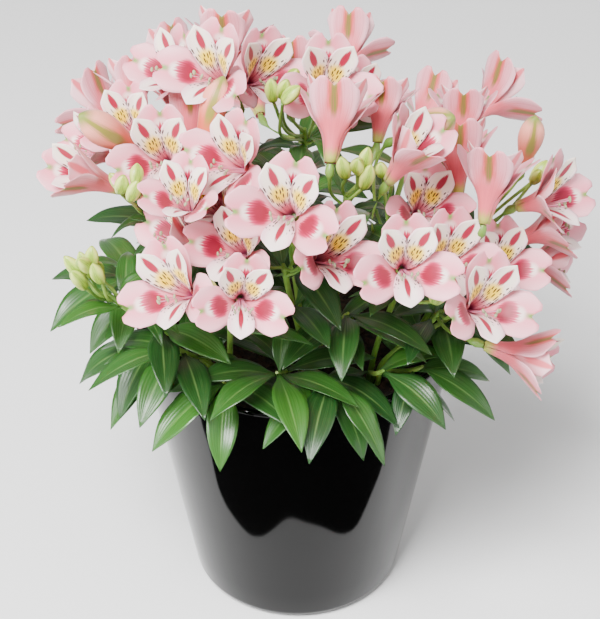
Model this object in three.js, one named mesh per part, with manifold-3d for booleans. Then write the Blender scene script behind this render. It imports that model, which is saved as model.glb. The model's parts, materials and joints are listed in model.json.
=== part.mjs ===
// Potted Peruvian lily (alstroemeria): a glazed pot filled with soil, clumps of leafy stems that rise
// from it, and pink blooms that open outwards on short stalks all over a round canopy.
// Millimetres, +Z up. The origin is the middle of the pot's foot, on the surface it stands on,
// and the front of the plant faces -Y.

import * as THREE from "three";
import { mergeVertices } from "three/addons/utils/BufferGeometryUtils.js";
import Module from "manifold-3d";

const wasm = await Module();
wasm.setup();

// Pot
const RIM_RADIUS = 82;
const FOOT_RADIUS = 55.5;
const POT_HEIGHT = 163;
const WALL = 4.5;
const FLOOR = 6;
const FOOT_ROUNDING = 7;
const LIP_RADIUS = 2.2;
const POT_SIDES = 32;

// Soil
const SOIL_LEVEL = 149;
const SOIL_BUMP = 1.6;
const SOIL_RINGS = 3;
const SOIL_SIDES = 24;
const HOLE_RADIUS = 7.5;
const HOLE_DEPTH = 16;
const HOLE_SIDES = 6;
const GAP = 0.35;

// The plant is laid out as it is seen from the front: places are given across and up from the point
// on the pot's axis that the eye looks at, and the line of sight then meets a round canopy.
const EYE_ELEVATION = THREE.MathUtils.degToRad(36.5);
const EYE_DISTANCE = 984;
const SIGHT_HEIGHT = 165.6;
const CANOPY_CENTRE = new THREE.Vector3(2, 6, 214);
const CANOPY_RADIUS = 134;
const CANOPY_RISE = 110;

// Flower
const TUBE = 13;
const TEPAL_THICKNESS = 1.3;
const OUTER_LENGTH = 38;
const OUTER_HALF_WIDTH = 11;
const INNER_LENGTH = 39;
const INNER_HALF_WIDTH = 6.2;
const LIP_LENGTH = 34;
const LIP_HALF_WIDTH = 6.4;
const CORE_FOOT = 2.2;
const CORE_LENGTH = 10;
const CORE_RADIUS = 6.2;
const CORE_HOLLOW = 1.5;
const TEPAL_STEP = 1.15;

// Stems, stalks, buds and leaves
const CROWN_RADIUS = 3.2;
const STEM_RADIUS = 1.7;
const STALK_RADIUS = 0.95;
const OVARY_RADIUS = 2.7;
const OVARY_LENGTH = 7;
const BUD_LENGTH = 11;
const BUD_RADIUS = 3.4;
const LEAF_THICKNESS = 1.2;
const LEAF_LENGTH = 45;
const LEAF_HALF_WIDTH = 8;
const SHOOT_RADIUS = 1.4;
const SHOOT_FAN = [25, -25, 66, -66, 0, 90, -90];
const NODE_HEIGHT = 1.8;
const NODE_SPACING = 3.2;
const LOW_NODES = [0.52, 0.72, 0.9];
const LEAST_FIT = 1;
const TOUCH = 1e-4;
const WHORL_LEAVES = 3;
const STEM_LEAVES = 4;
const GOLDEN = 137.5;
const UMBEL_REACH = 16;
const UMBEL_DROPS = [6, 0, 14, 22, 30, 38];
const SEED = 20416;

// Colours
const COLOURS = {
  glaze: 0x0d0d0f,
  soil: 0x2b1d14,
  leaf: 0x2f6b25,
  petal: 0xf3b3bd,
};

// Each bloom: name, stem, then how far across and up its throat is seen, how deep it lies in the canopy,
// the way it faces (degrees round from the front, and up), its lean to the side, how far it has opened
// from 0 to 1, and its size.
const BLOOMS = [
  ["bloom_front", "mid", -4, 49, 6, -12, 38, 8, 1, 1.05],
  ["bloom_front_low", "low_mid", 14, 26, 4, 38, 36, 20, 1, 1],
  ["bloom_low_left", "low_left", -58, 8, 9, -36, 36, -26, 1, 1],
  ["bloom_right_low", "right_low", 92, 1, 4, 30, 38, 16, 1, 1],
  ["bloom_left_mid", "mid", -30, 73, 10, -35, 38, 12, 1, 1],
  ["bloom_top_left", "top_left", -41, 118, 6, -30, 42, 5, 1, 1],
  ["bloom_left_upper", "left_upper", -67, 76, 6, -8, 38, -5, 1, 1],
  ["bloom_right_mid", "right_mid", 55, 21, 10, 5, 36, 0, 1, 1],
  ["bloom_low_mid", "low_mid", -29, 29, 10, -25, 40, 12, 0.95, 0.95],
  ["bloom_low_centre", "low_left", -28, 5, 0, 6, 30, 8, 1, 0.9],
  ["bloom_back_trumpet", "back_mid", 19, 90, 12, 170, 50, 0, 0.65, 1.05],
  ["bloom_right_trumpet", "right_top", 98, 58, 10, 160, 58, 0, 0.65, 1],
  ["bloom_right_heart", "right_mid", 75, 24, 14, 25, 38, 8, 1, 1],
  ["bloom_top_mid", "top_mid", 14, 112, 6, 12, 38, 6, 1, 1],
  ["bloom_right_spot", "right_low", 101, 21, 5, 20, 42, 4, 1, 0.95],
  ["bloom_right_far", "right_top", 124, 55, 4, 62, 30, 10, 0.9, 0.95],
  ["bloom_far_right", "far_right", 123, 39, 12, 80, 30, 10, 0.8, 0.95],
  ["bloom_top_right", "top_left", -21, 117, 24, 35, 38, 10, 0.85, 1],
  ["bloom_far_left", "far_left", -60, 117, 12, -55, 50, 0, 0.85, 0.95],
  ["bloom_left_heart", "far_left", -84, 91, 10, -20, 42, -6, 1, 0.9],
  ["bloom_upper_trumpet", "right_upper", 82, 72, 4, 180, 50, 0, 0.65, 1],
  ["bloom_right_upper", "right_upper", 54, 75, 4, 68, 62, 0, 0.45, 1],
  ["bloom_right_inner", "right_mid", 63, 50, 14, 20, 44, 8, 0.9, 0.95],
  ["bloom_left_side", "left_mid", -56, 33, 8, -75, 38, 0, 0.85, 0.95],
  ["bloom_left_trumpet", "left_mid", -40, 50, 24, -30, 52, 0, 0.6, 0.9],
  ["bloom_left_salmon", "left_upper", -54, 92, 14, 180, 50, 0, 0.5, 0.9],
  ["bloom_left_half", "left", -102, 66, 6, -63, 37, 0, 0.35, 1],
  ["bloom_left_behind", "left", -98, 80, 18, -70, 30, 0, 0.8, 0.9],
  ["bloom_top_trumpet", "top_mid", -3, 116, 18, 175, 55, 0, 0.55, 0.95],
  ["bloom_top_behind", "top_left", -37, 128, 12, 170, 50, 0, 0.8, 1],
  ["bloom_left_back", "far_left", -62, 107, 14, -160, 45, 0, 0.8, 0.95],
  ["bloom_left_rear", "far_left", -82, 107, 22, -150, 45, 0, 0.7, 0.9],
  ["bloom_leaf_side", "top_mid", 29, 106, 24, 30, 40, 0, 0.9, 0.85],
  ["bloom_mid_behind", "back_mid", 43, 97, 30, 165, 50, 0, 0.6, 0.85],
  ["bloom_right_behind", "right_upper", 84, 92, 54, 175, 60, 0, 0.6, 0.9],
  ["bloom_left_high", "left_mid", -56, 53, 16, -20, 60, 0, 0.8, 0.85],
  ["bloom_far_right_low", "far_right", 122, 24, 30, 82, 10, 0, 0.8, 0.9],
  ["bloom_right_lowest", "right_low", 109, -22, 6, 70, -5, 0, 0.6, 0.95],
];

// Flowers still closed, given as the blooms are: they stand as plain ribbed spindles.
const CLOSED = [
  ["closed_left", "left", -89, 86, 6, -54, 45, 1],
  ["closed_left_small", "left_mid", -72, 58, 6, -10, 20, 0.62],
  ["closed_left_upper", "far_left", -46, 92, 12, 140, 60, 0.85],
  ["closed_right_upper", "right_upper", 59, 90, 10, 50, 37, 0.95],
  ["closed_right_top", "right_top", 117, 80, 8, 20, 75, 0.8],
];

// Rear blooms, on the side away from the front: name, stem, way round, height, size.
const REAR_BLOOMS = [
  ["bloom_rear_1", "rear_left", -122, 26, 1],
  ["bloom_rear_2", "rear_left", -146, 34, 0.95],
  ["bloom_rear_3", "rear_mid", -168, 4, 1],
  ["bloom_rear_4", "rear_mid", 168, 30, 1],
  ["bloom_rear_5", "rear_right", 146, 2, 1],
  ["bloom_rear_6", "rear_right", 124, 30, 1],
];

// Clusters of green buds: stem, across, up, depth, number, size.
const BUDS = [
  ["top_mid", -5, 113, 8, 4, 1],
  ["back_mid", 31, 73, 8, 4, 1],
  ["right_upper", 50, 71, 14, 3, 0.9],
  ["right_top", 123, 68, 8, 3, 0.9],
  ["left", -87, 65, 6, 4, 1],
  ["left_upper", -58, 81, 14, 2, 0.9],
  ["low_left", -44, 5, 8, 1, 1.1],
  ["low_mid", -3, 38, 14, 2, 1],
  ["right_mid", 73, 2, 8, 1, 1.2],
  ["bud_stem", -110, 23, 4, 7, 1],
];

// Clumps: the stems that rise from one crown in the soil, where the crown stands (way round, radius),
// and which way round its low leafy shoots go.
const CLUMPS = [
  { name: "leafy_clump_front", stems: ["mid", "low_mid"], round: 8, radius: 30,
    shoots: [[-7, 186, 78], [12, 182, 78], [24, 204, 60]] },
  { name: "leafy_clump_front_left", stems: ["low_left", "bud_stem"], round: -42, radius: 50,
    shoots: [[-26, 176, 80], [-44, 188, 84], [-62, 174, 80]] },
  { name: "leafy_clump_front_right", stems: ["right_low", "right_mid"], round: 44, radius: 50,
    shoots: [[31, 180, 80], [48, 172, 82], [66, 188, 84]] },
  { name: "leafy_clump_left", stems: ["left", "left_mid"], round: -88, radius: 46,
    shoots: [[-80, 198, 86], [-100, 176, 80]] },
  { name: "leafy_clump_right", stems: ["far_right", "right_top"], round: 88, radius: 52,
    shoots: [[84, 176, 80], [102, 198, 84]] },
  { name: "leafy_clump_left_inner", stems: ["left_upper", "far_left"], round: -104, radius: 16,
    shoots: [] },
  { name: "leafy_clump_right_inner", stems: ["right_upper", "back_mid"], round: 105, radius: 20,
    shoots: [] },
  { name: "leafy_clump_rear_left", stems: ["rear_left", "top_left"], round: -140, radius: 50,
    shoots: [[-122, 190, 82], [-146, 176, 78]] },
  { name: "leafy_clump_rear", stems: ["rear_mid", "top_mid"], round: 178, radius: 46,
    shoots: [[-170, 190, 82], [170, 176, 78]] },
  { name: "leafy_clump_rear_right", stems: ["rear_right"], round: 134, radius: 52,
    shoots: [[122, 190, 82], [146, 176, 78]] },
];

const UP = new THREE.Vector3(0, 0, 1);
const SIGHT = new THREE.Vector3(0, Math.cos(EYE_ELEVATION), -Math.sin(EYE_ELEVATION));
const SIGHT_UP = new THREE.Vector3(0, Math.sin(EYE_ELEVATION), Math.cos(EYE_ELEVATION));
const EYE = new THREE.Vector3(0, 0, SIGHT_HEIGHT).addScaledVector(SIGHT, -EYE_DISTANCE);

// Repeatable random numbers from 0 to 1
let seedState = SEED;
function draw() {
  seedState = (seedState * 48271) % 2147483647;
  return seedState / 2147483647;
}

function spread(middle, range) {
  return middle + (draw() - 0.5) * 2 * range;
}

function compass(azimuth, elevation) {
  const round = THREE.MathUtils.degToRad(azimuth);
  const rise = THREE.MathUtils.degToRad(elevation);
  return new THREE.Vector3(
    Math.sin(round) * Math.cos(rise), -Math.cos(round) * Math.cos(rise), Math.sin(rise));
}

// The line of sight through a place seen across and up
function lineOfSight(across, up) {
  return SIGHT.clone().multiplyScalar(EYE_DISTANCE).addScaledVector(SIGHT_UP, up)
    .add(new THREE.Vector3(across, 0, 0)).normalize();
}

// The point of the canopy, or of its edge, that is seen there, moved on along the sight by a depth
function onCanopy(across, up, depth) {
  const ray = lineOfSight(across, up);
  const squeeze = new THREE.Vector3(1 / CANOPY_RADIUS, 1 / CANOPY_RADIUS, 1 / CANOPY_RISE);
  const from = EYE.clone().sub(CANOPY_CENTRE).multiply(squeeze);
  const along = ray.clone().multiply(squeeze);
  const a = along.dot(along);
  const b = from.dot(along);
  const c = from.dot(from) - 1;
  const root = Math.sqrt(Math.max(b * b - a * c, 0));
  return EYE.clone().addScaledVector(ray, (-b - root) / a + depth);
}

// Solids

function solid(points, faces) {
  const vertProperties = new Float32Array(points.flatMap((p) => [p.x, p.y, p.z]));
  let volume = 0;
  for (const [a, b, c] of faces) {
    volume += points[a].dot(new THREE.Vector3().crossVectors(points[b], points[c]));
  }
  const turned = volume < 0 ? faces.map(([a, b, c]) => [a, c, b]) : faces;
  return new wasm.Manifold(
    new wasm.Mesh({ numProp: 3, vertProperties, triVerts: new Uint32Array(turned.flat()) }));
}

function solidFromGeometry(geometry) {
  geometry.deleteAttribute("normal");
  geometry.deleteAttribute("uv");
  const merged = mergeVertices(geometry, 1e-4);
  return new wasm.Manifold(new wasm.Mesh({
    numProp: 3,
    vertProperties: new Float32Array(merged.attributes.position.array),
    triVerts: new Uint32Array(merged.index.array),
  }));
}

function unite(parts) {
  return parts.reduce((whole, part) => whole.add(part));
}

function meshFrom(name, manifold, colour, roughness) {
  const mesh = manifold.getMesh();
  const geometry = new THREE.BufferGeometry();
  geometry.setAttribute("position", new THREE.BufferAttribute(mesh.vertProperties, 3));
  geometry.setIndex(new THREE.BufferAttribute(mesh.triVerts, 1));
  geometry.computeVertexNormals();
  const material = new THREE.MeshStandardMaterial({ color: colour, roughness, metalness: 0 });
  const made = new THREE.Mesh(geometry, material);
  made.name = name;
  return made;
}

// A blade is a row of diamond sections, each with its middle, its way across, the way its upper face
// looks, its half width, its thickness and how far its edges rise. It ends in a point, or in two lobes
// round a notch.
function bladePoints(sections, end) {
  const points = [];
  for (const { middle, side, face, half, cup, thickness } of sections) {
    const rim = middle.clone().addScaledVector(face, cup);
    points.push(rim.clone().addScaledVector(side, -half));
    points.push(middle.clone().addScaledVector(face, thickness / 2));
    points.push(rim.clone().addScaledVector(side, half));
    points.push(middle.clone().addScaledVector(face, -thickness / 2));
  }
  return [...points, ...end];
}

function bladeFaces(first, sections, ends) {
  const faces = [];
  for (let near = first; near < first + (sections - 1) * 4; near += 4) {
    const far = near + 4;
    faces.push([near, far + 1, near + 1], [near, far, far + 1]);
    faces.push([near + 1, far + 1, near + 2], [near + 2, far + 1, far + 2]);
    faces.push([near + 2, far + 3, near + 3], [near + 2, far + 2, far + 3]);
    faces.push([near + 3, far + 3, near], [near, far + 3, far]);
  }
  const last = first + (sections - 1) * 4;
  const end = last + 4;
  if (ends === 1) {
    faces.push([last, end, last + 1], [last + 1, end, last + 2]);
    faces.push([last + 2, end, last + 3], [last + 3, end, last]);
  } else {
    const [left, notch, right] = [end, end + 1, end + 2];
    faces.push([last, left, last + 1], [left, notch, last + 1]);
    faces.push([notch, right, last + 1], [right, last + 2, last + 1]);
    faces.push([last, last + 3, left], [left, last + 3, notch]);
    faces.push([notch, last + 3, right], [right, last + 3, last + 2]);
  }
  return faces;
}

function joinBlade(points, faces, [a, b, c, d], { sections, end }) {
  const left = points.length;
  const [top, right, under] = [left + 1, left + 2, left + 3];
  faces.push([a, b, under], [b, right, under], [b, c, right], [c, top, right]);
  faces.push([c, d, top], [d, left, top], [d, a, left], [a, under, left]);
  faces.push(...bladeFaces(left, sections.length, end.length));
  points.push(...bladePoints(sections, end));
}

function joinRing(points, faces, corners, ring) {
  const first = points.length;
  corners.forEach((corner, i) => {
    const next = (i + 1) % corners.length;
    faces.push([corner, corners[next], first + next], [corner, first + next, first + i]);
  });
  points.push(...ring);
  return corners.map((corner, i) => first + i);
}

function closeRing(points, faces, corners, end) {
  corners.forEach((corner, i) => {
    faces.push([corner, corners[(i + 1) % corners.length], points.length]);
  });
  points.push(end);
}

// The faces of a round body: a first point, rings of equal sides, and a last point
function ringedFaces(rings, sides) {
  const end = 1 + rings * sides;
  const faces = [];
  for (let i = 0; i < sides; i += 1) {
    const next = (i + 1) % sides;
    faces.push([0, 1 + next, 1 + i]);
    for (let low = 1; low < end - sides; low += sides) {
      const high = low + sides;
      faces.push([low + i, low + next, high + next], [low + i, high + next, high + i]);
    }
    faces.push([end - sides + i, end - sides + next, end]);
  }
  return faces;
}

// A round body of a few rings along an axis, closed by a point at each end
function spindle(base, axis, rings, tip, sides) {
  const across = new THREE.Vector3().crossVectors(axis, Math.abs(axis.z) < 0.9 ? UP : SIGHT).normalize();
  const other = new THREE.Vector3().crossVectors(axis, across);
  const points = [base.clone()];
  for (const [along, radius] of rings) {
    for (let i = 0; i < sides; i += 1) {
      const turn = (i / sides) * Math.PI * 2;
      points.push(base.clone().addScaledVector(axis, along)
        .addScaledVector(across, Math.cos(turn) * radius)
        .addScaledVector(other, Math.sin(turn) * radius));
    }
  }
  points.push(base.clone().addScaledVector(axis, tip));
  return solid(points, ringedFaces(rings.length, sides));
}

// Pot: one turned wall with a floor, a rounded foot and a thin lip
function potSolid() {
  const slope = Math.atan2(RIM_RADIUS - FOOT_RADIUS, POT_HEIGHT);
  const inset = FOOT_ROUNDING * (1 / Math.cos(slope) - Math.tan(slope));
  const profile = [new THREE.Vector2(0, 0)];
  for (let i = 0; i <= 3; i += 1) {
    const turn = -Math.PI / 2 + (i / 3) * (Math.PI / 2 - slope);
    profile.push(new THREE.Vector2(
      FOOT_RADIUS - inset + Math.cos(turn) * FOOT_ROUNDING,
      FOOT_ROUNDING + Math.sin(turn) * FOOT_ROUNDING));
  }
  profile.push(new THREE.Vector2(RIM_RADIUS, POT_HEIGHT - LIP_RADIUS));
  profile.push(new THREE.Vector2(RIM_RADIUS - WALL / 2, POT_HEIGHT));
  profile.push(new THREE.Vector2(RIM_RADIUS - WALL, POT_HEIGHT - LIP_RADIUS));
  profile.push(new THREE.Vector2(FOOT_RADIUS - WALL, FLOOR));
  profile.push(new THREE.Vector2(0, FLOOR));
  const geometry = new THREE.LatheGeometry(profile, POT_SIDES);
  geometry.rotateX(Math.PI / 2);
  return solidFromGeometry(geometry);
}

function potInnerRadius(height) {
  const share = (height - FLOOR) / (POT_HEIGHT - LIP_RADIUS - FLOOR);
  return THREE.MathUtils.lerp(FOOT_RADIUS - WALL, RIM_RADIUS - WALL, share);
}

// The flat sides of the turned pot come this much nearer than its corners
const FLAT = Math.cos(Math.PI / POT_SIDES);

function crownPlace(round, radius) {
  return compass(round, 0).multiplyScalar(radius).setZ(SOIL_LEVEL - HOLE_DEPTH + GAP);
}

// Soil: a lumpy top on a plug that fills the pot, with a plain hole for each crown
function soilSolid() {
  const bottom = FLOOR + GAP;
  const reach = potInnerRadius(SOIL_LEVEL) * FLAT - GAP;
  const foot = potInnerRadius(bottom) * FLAT - GAP;
  const points = [new THREE.Vector3(0, 0, bottom), new THREE.Vector3(0, 0, SOIL_LEVEL)];
  for (let ring = 0; ring <= SOIL_RINGS; ring += 1) {
    const radius = ring === 0 ? foot : reach * (1 - (ring - 1) / SOIL_RINGS);
    for (let i = 0; i < SOIL_SIDES; i += 1) {
      const turn = (i / SOIL_SIDES) * Math.PI * 2;
      const height = ring === 0 ? bottom : SOIL_LEVEL + (ring === 1 ? 0 : spread(0, SOIL_BUMP));
      points.push(new THREE.Vector3(Math.cos(turn) * radius, Math.sin(turn) * radius, height));
    }
  }
  const faces = [];
  for (let i = 0; i < SOIL_SIDES; i += 1) {
    const next = (i + 1) % SOIL_SIDES;
    faces.push([0, 2 + next, 2 + i]);
    for (let ring = 0; ring < SOIL_RINGS; ring += 1) {
      const low = 2 + ring * SOIL_SIDES;
      const high = low + SOIL_SIDES;
      faces.push([low + i, low + next, high + next], [low + i, high + next, high + i]);
    }
    const top = 2 + SOIL_RINGS * SOIL_SIDES;
    faces.push([top + i, top + next, 1]);
  }
  let soil = solid(points, faces);
  for (const { round, radius } of CLUMPS) {
    const hole = new THREE.CylinderGeometry(HOLE_RADIUS, HOLE_RADIUS, HOLE_DEPTH * 2, HOLE_SIDES);
    hole.rotateX(Math.PI / 2);
    const place = crownPlace(round, radius);
    hole.translate(place.x, place.y, SOIL_LEVEL);
    soil = soil.subtract(solidFromGeometry(hole));
  }
  return soil;
}

// Flower

// A flower's own frame: out along its axis, its top towards the sky unless it leans, and its right
function flowerFrame(place, azimuth, elevation, lean) {
  const axis = compass(azimuth, elevation);
  const top = UP.clone().addScaledVector(axis, -UP.dot(axis)).normalize();
  top.applyAxisAngle(axis, -THREE.MathUtils.degToRad(lean));
  const right = new THREE.Vector3().crossVectors(top, axis);
  return { place, axis, top, right };
}

function inFrame(frame, across, up, along) {
  return frame.place.clone().addScaledVector(frame.right, across)
    .addScaledVector(frame.top, up).addScaledVector(frame.axis, along);
}

function directionInFrame(frame, across, up, along) {
  return inFrame({ ...frame, place: new THREE.Vector3() }, across, up, along);
}

// The six tepals in their order round the flower: way round at the foot and at the blade, how far the
// blade leans out when open, its length and half width, and whether it is a broad notched outer one.
const TEPALS = [
  { foot: 0, blade: 0, lean: 54, length: OUTER_LENGTH, half: OUTER_HALF_WIDTH, outer: true },
  { foot: 60, blade: 32, lean: 42, length: INNER_LENGTH, half: INNER_HALF_WIDTH, outer: false },
  { foot: 120, blade: 106, lean: 56, length: OUTER_LENGTH, half: OUTER_HALF_WIDTH, outer: true },
  { foot: 180, blade: 180, lean: 46, length: LIP_LENGTH, half: LIP_HALF_WIDTH, outer: false },
  { foot: -120, blade: -106, lean: 56, length: OUTER_LENGTH, half: OUTER_HALF_WIDTH, outer: true },
  { foot: -60, blade: -32, lean: 42, length: INNER_LENGTH, half: INNER_HALF_WIDTH, outer: false },
];
const TUBE_LEAN = 10;
const CLOSED_LEAN = 2;
const LOBE_SPREAD = 0.66;
const SWING_START = 0.5;
const NOTCH_DEPTH = 0.11;
const BEND_START = 7.5;
const BEND_END = 25;
const STAMEN_RADIUS = 0.75;
const STAMEN_SIDES = [2, 4];

// Where a tepal is at a distance along it, as a radius and a height, and the slope there. It runs
// straight up the tube, bends evenly, and runs straight again.
function tepalPath(distance, lean) {
  const first = THREE.MathUtils.degToRad(TUBE_LEAN);
  const last = THREE.MathUtils.degToRad(lean);
  const straight = Math.min(distance, BEND_START);
  let radius = straight * Math.sin(first);
  let height = straight * Math.cos(first);
  let slope = first;
  if (distance > BEND_START) {
    const bend = Math.min(distance, BEND_END) - BEND_START;
    const rate = (last - first) / (BEND_END - BEND_START) || 1e-6;
    slope = first + rate * bend;
    radius += (Math.cos(first) - Math.cos(slope)) / rate;
    height += (Math.sin(slope) - Math.sin(first)) / rate;
  }
  if (distance > BEND_END) {
    radius += (distance - BEND_END) * Math.sin(slope);
    height += (distance - BEND_END) * Math.cos(slope);
  }
  return { radius, height, slope };
}

function tepalSection(frame, tepal, open, size, share, half, cup) {
  const lean = THREE.MathUtils.lerp(CLOSED_LEAN, tepal.lean, open);
  const { radius, height, slope } = tepalPath(tepal.length * share, lean);
  const settle = Math.min(share / 0.6, 1) * THREE.MathUtils.smoothstep(open, SWING_START, 1);
  const round = THREE.MathUtils.degToRad(THREE.MathUtils.lerp(tepal.foot, tepal.blade, settle));
  const outset = tepal.outer ? 2.6 : 1.2;
  const reach = (radius + outset) * size;
  const [sin, cos] = [Math.sin(round), Math.cos(round)];
  return {
    middle: inFrame(frame, sin * reach, cos * reach, height * size),
    side: directionInFrame(frame, cos, -sin, 0),
    face: directionInFrame(frame,
      -sin * Math.cos(slope), -cos * Math.cos(slope), Math.sin(slope)),
    along: directionInFrame(frame,
      sin * Math.sin(slope), cos * Math.sin(slope), Math.cos(slope)),
    half: half * size,
    cup: cup * half * size,
    thickness: TEPAL_THICKNESS,
  };
}

function tepalParts(frame, tepal, open, size, extra) {
  const cut = (share, half, cup) => {
    const section = tepalSection(frame, tepal, open, size, share, half * tepal.half, cup);
    return { ...section, half: section.half + extra, thickness: section.thickness + 2 * extra };
  };
  const tip = cut(1, tepal.outer ? LOBE_SPREAD : 0, 0.1);
  if (!tepal.outer) {
    return { sections: [cut(0.74, 1, 0.25)], end: [tip.middle.addScaledVector(tip.along, extra)] };
  }
  return {
    sections: [cut(0.72, 1, 0.14)],
    end: [
      tip.middle.clone().addScaledVector(tip.side, -tip.half),
      tip.middle.clone().addScaledVector(tip.along, -NOTCH_DEPTH * tepal.length * size),
      tip.middle.clone().addScaledVector(tip.side, tip.half),
    ],
  };
}

// A bundle of stamens, which rises from a side of the throat and dips towards the lowest tepal
function stamenParts(frame, size, hand, corners) {
  const knee = inFrame(frame, hand * 2.2 * size, -2.3 * size, 17 * size);
  const middle = corners.reduce((sum, corner) => sum.add(corner), new THREE.Vector3())
    .divideScalar(corners.length);
  const ring = corners.map((corner) => {
    const out = corner.clone().sub(middle);
    out.addScaledVector(frame.axis, -out.dot(frame.axis)).normalize();
    return knee.clone().addScaledVector(out, STAMEN_RADIUS);
  });
  return { ring, tip: inFrame(frame, hand * 4 * size, -3.6 * size, 29 * size) };
}

// A bloom is one skin. A six-sided funnel rises from its foot to a rim of two steps round a hollow
// throat: the outer tepals grow from the outer step and the inner ones from the inner step.
function bloomSolid({ open, size }, frame, extra = 0) {
  const points = [frame.place.clone()];
  const rings = [
    [0.01, CORE_FOOT * size + extra],
    [CORE_LENGTH, CORE_RADIUS * size + extra],
    [CORE_LENGTH, (CORE_RADIUS - TEPAL_STEP) * size],
    [CORE_LENGTH, (CORE_RADIUS - 2 * TEPAL_STEP) * size - extra],
  ];
  for (const [along, radius] of rings) {
    for (let i = 0; i < 6; i += 1) {
      const turn = ((i - 0.5) / 6) * Math.PI * 2;
      points.push(inFrame(frame, Math.sin(turn) * radius, Math.cos(turn) * radius, along * size));
    }
  }
  const throat = points.length;
  points.push(inFrame(frame, 0, 0, (CORE_LENGTH - CORE_HOLLOW) * size));
  const faces = [];
  const [foot, rim, step, inside] = [1, 7, 13, 19];
  TEPALS.forEach((tepal, i) => {
    const next = (i + 1) % 6;
    const [grown, plain] = tepal.outer ? [[rim, step], [step, inside]] : [[step, inside], [rim, step]];
    faces.push([0, foot + next, foot + i]);
    for (const [low, high] of [[foot, rim], plain]) {
      faces.push([low + i, low + next, high + next], [low + i, high + next, high + i]);
    }
    joinBlade(points, faces, [grown[0] + i, grown[0] + next, grown[1] + next, grown[1] + i],
      tepalParts(frame, tepal, open, size, extra));
  });
  for (let i = 0; i < 6; i += 1) {
    const side = [inside + i, inside + ((i + 1) % 6), throat];
    const hand = STAMEN_SIDES.indexOf(i);
    if (hand < 0 || open < 0.95) {
      faces.push(side);
    } else {
      const corners = side.map((corner) => points[corner]);
      const { ring, tip } = stamenParts(frame, size, hand === 0 ? 1 : -1, corners);
      closeRing(points, faces, joinRing(points, faces, side, ring), tip);
    }
  }
  return solid(points, faces);
}

function closedSolid(flower, frame, extra = 0) {
  const size = flower.size;
  return spindle(frame.place, frame.axis, [
    [0.01, 2.4 * size + extra], [13 * size, 5 * size + extra],
    [28 * size, 7.6 * size + extra], [37 * size, 5.6 * size + extra],
  ], 43 * size + extra, 6);
}

// Placing the flowers. Each is tried at its own place first, then a little nearer or deeper along the
// line of sight, and then turned a little, until it is clear of those that already stand. One that
// never clears is joined to what it crosses, as one bunch.
const DEPTHS = [0, 5, -5, 10, -10, 15, 20, 26, -15, 32, 40, 50];
const TURNS = [0, 14, -14, 30, -30];
const CLEARANCE = 0.3;
const LEAST_OVERLAP = 0.00001;

function boxesMeet(a, b) {
  return a.box.intersectsBox(b.box);
}

function withBox(shape, data) {
  const bounds = shape.boundingBox();
  const box = new THREE.Box3(
    new THREE.Vector3(...bounds.min), new THREE.Vector3(...bounds.max));
  return { ...data, shape, box };
}

function overlapping(candidate, others) {
  return others.filter((other) => boxesMeet(candidate, other)
    && candidate.shape.intersect(other.shape).volume() > LEAST_OVERLAP);
}

function crossed(candidate, others) {
  return others.filter((other) => boxesMeet(candidate, other)
    && !candidate.shape.intersect(other.shape).isEmpty());
}

function flowerAt(flower, depth, turn) {
  const place = flower.rear
    ? flower.rear.clone().addScaledVector(compass(flower.azimuth, 0), -depth)
    : onCanopy(flower.across, flower.up, flower.depth + depth);
  const frame = flowerFrame(place, flower.azimuth + turn, flower.elevation, flower.lean);
  frame.place.addScaledVector(frame.axis, -TUBE * flower.size);
  return frame;
}

function rearPlace(azimuth, height) {
  const rise = (height - 10) / CANOPY_RISE;
  const radius = CANOPY_RADIUS * Math.sqrt(1 - Math.min(rise * rise, 0.9)) * 0.88;
  const outward = compass(azimuth, 0);
  return new THREE.Vector3(CANOPY_CENTRE.x, CANOPY_CENTRE.y, CANOPY_CENTRE.z + height)
    .addScaledVector(outward, radius);
}

const flowers = [
  ...BLOOMS.map(([name, stem, across, up, depth, azimuth, elevation, lean, open, size]) => (
    { name, stem, across, up, depth, azimuth, elevation, lean, open, size, make: bloomSolid })),
  ...CLOSED.map(([name, stem, across, up, depth, azimuth, elevation, size]) => (
    { name, stem, across, up, depth, azimuth, elevation, lean: 0, size, make: closedSolid })),
  ...REAR_BLOOMS.map(([name, stem, azimuth, height, size]) => (
    { name, stem, azimuth, elevation: 10 + height / 3, lean: 0, open: 0.95, size,
      rear: rearPlace(azimuth, height), make: bloomSolid })),
];

function placeFlower(flower, standing) {
  let fewest = null;
  for (const turn of TURNS) {
    for (const depth of DEPTHS) {
      const frame = flowerAt(flower, depth, turn);
      const candidate = withBox(flower.make(flower, frame, CLEARANCE), { frame });
      const hits = crossed(candidate, standing);
      if (hits.length === 0) return { frame, hits };
      if (!fewest || hits.length < fewest.hits.length) fewest = { frame, hits };
    }
  }
  return fewest;
}

const standing = [];
for (const flower of flowers) {
  const { frame, hits } = placeFlower(flower, standing);
  flower.frame = frame;
  const placed = withBox(flower.make(flower, frame), { names: [flower.name], members: [flower] });
  for (const hit of hits) {
    placed.shape = placed.shape.add(hit.shape);
    placed.box.union(hit.box);
    placed.names.unshift(...hit.names);
    placed.members.push(...hit.members);
    standing.splice(standing.indexOf(hit), 1);
  }
  standing.push(placed);
}

// Leaves, stems, stalks and buds

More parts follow.
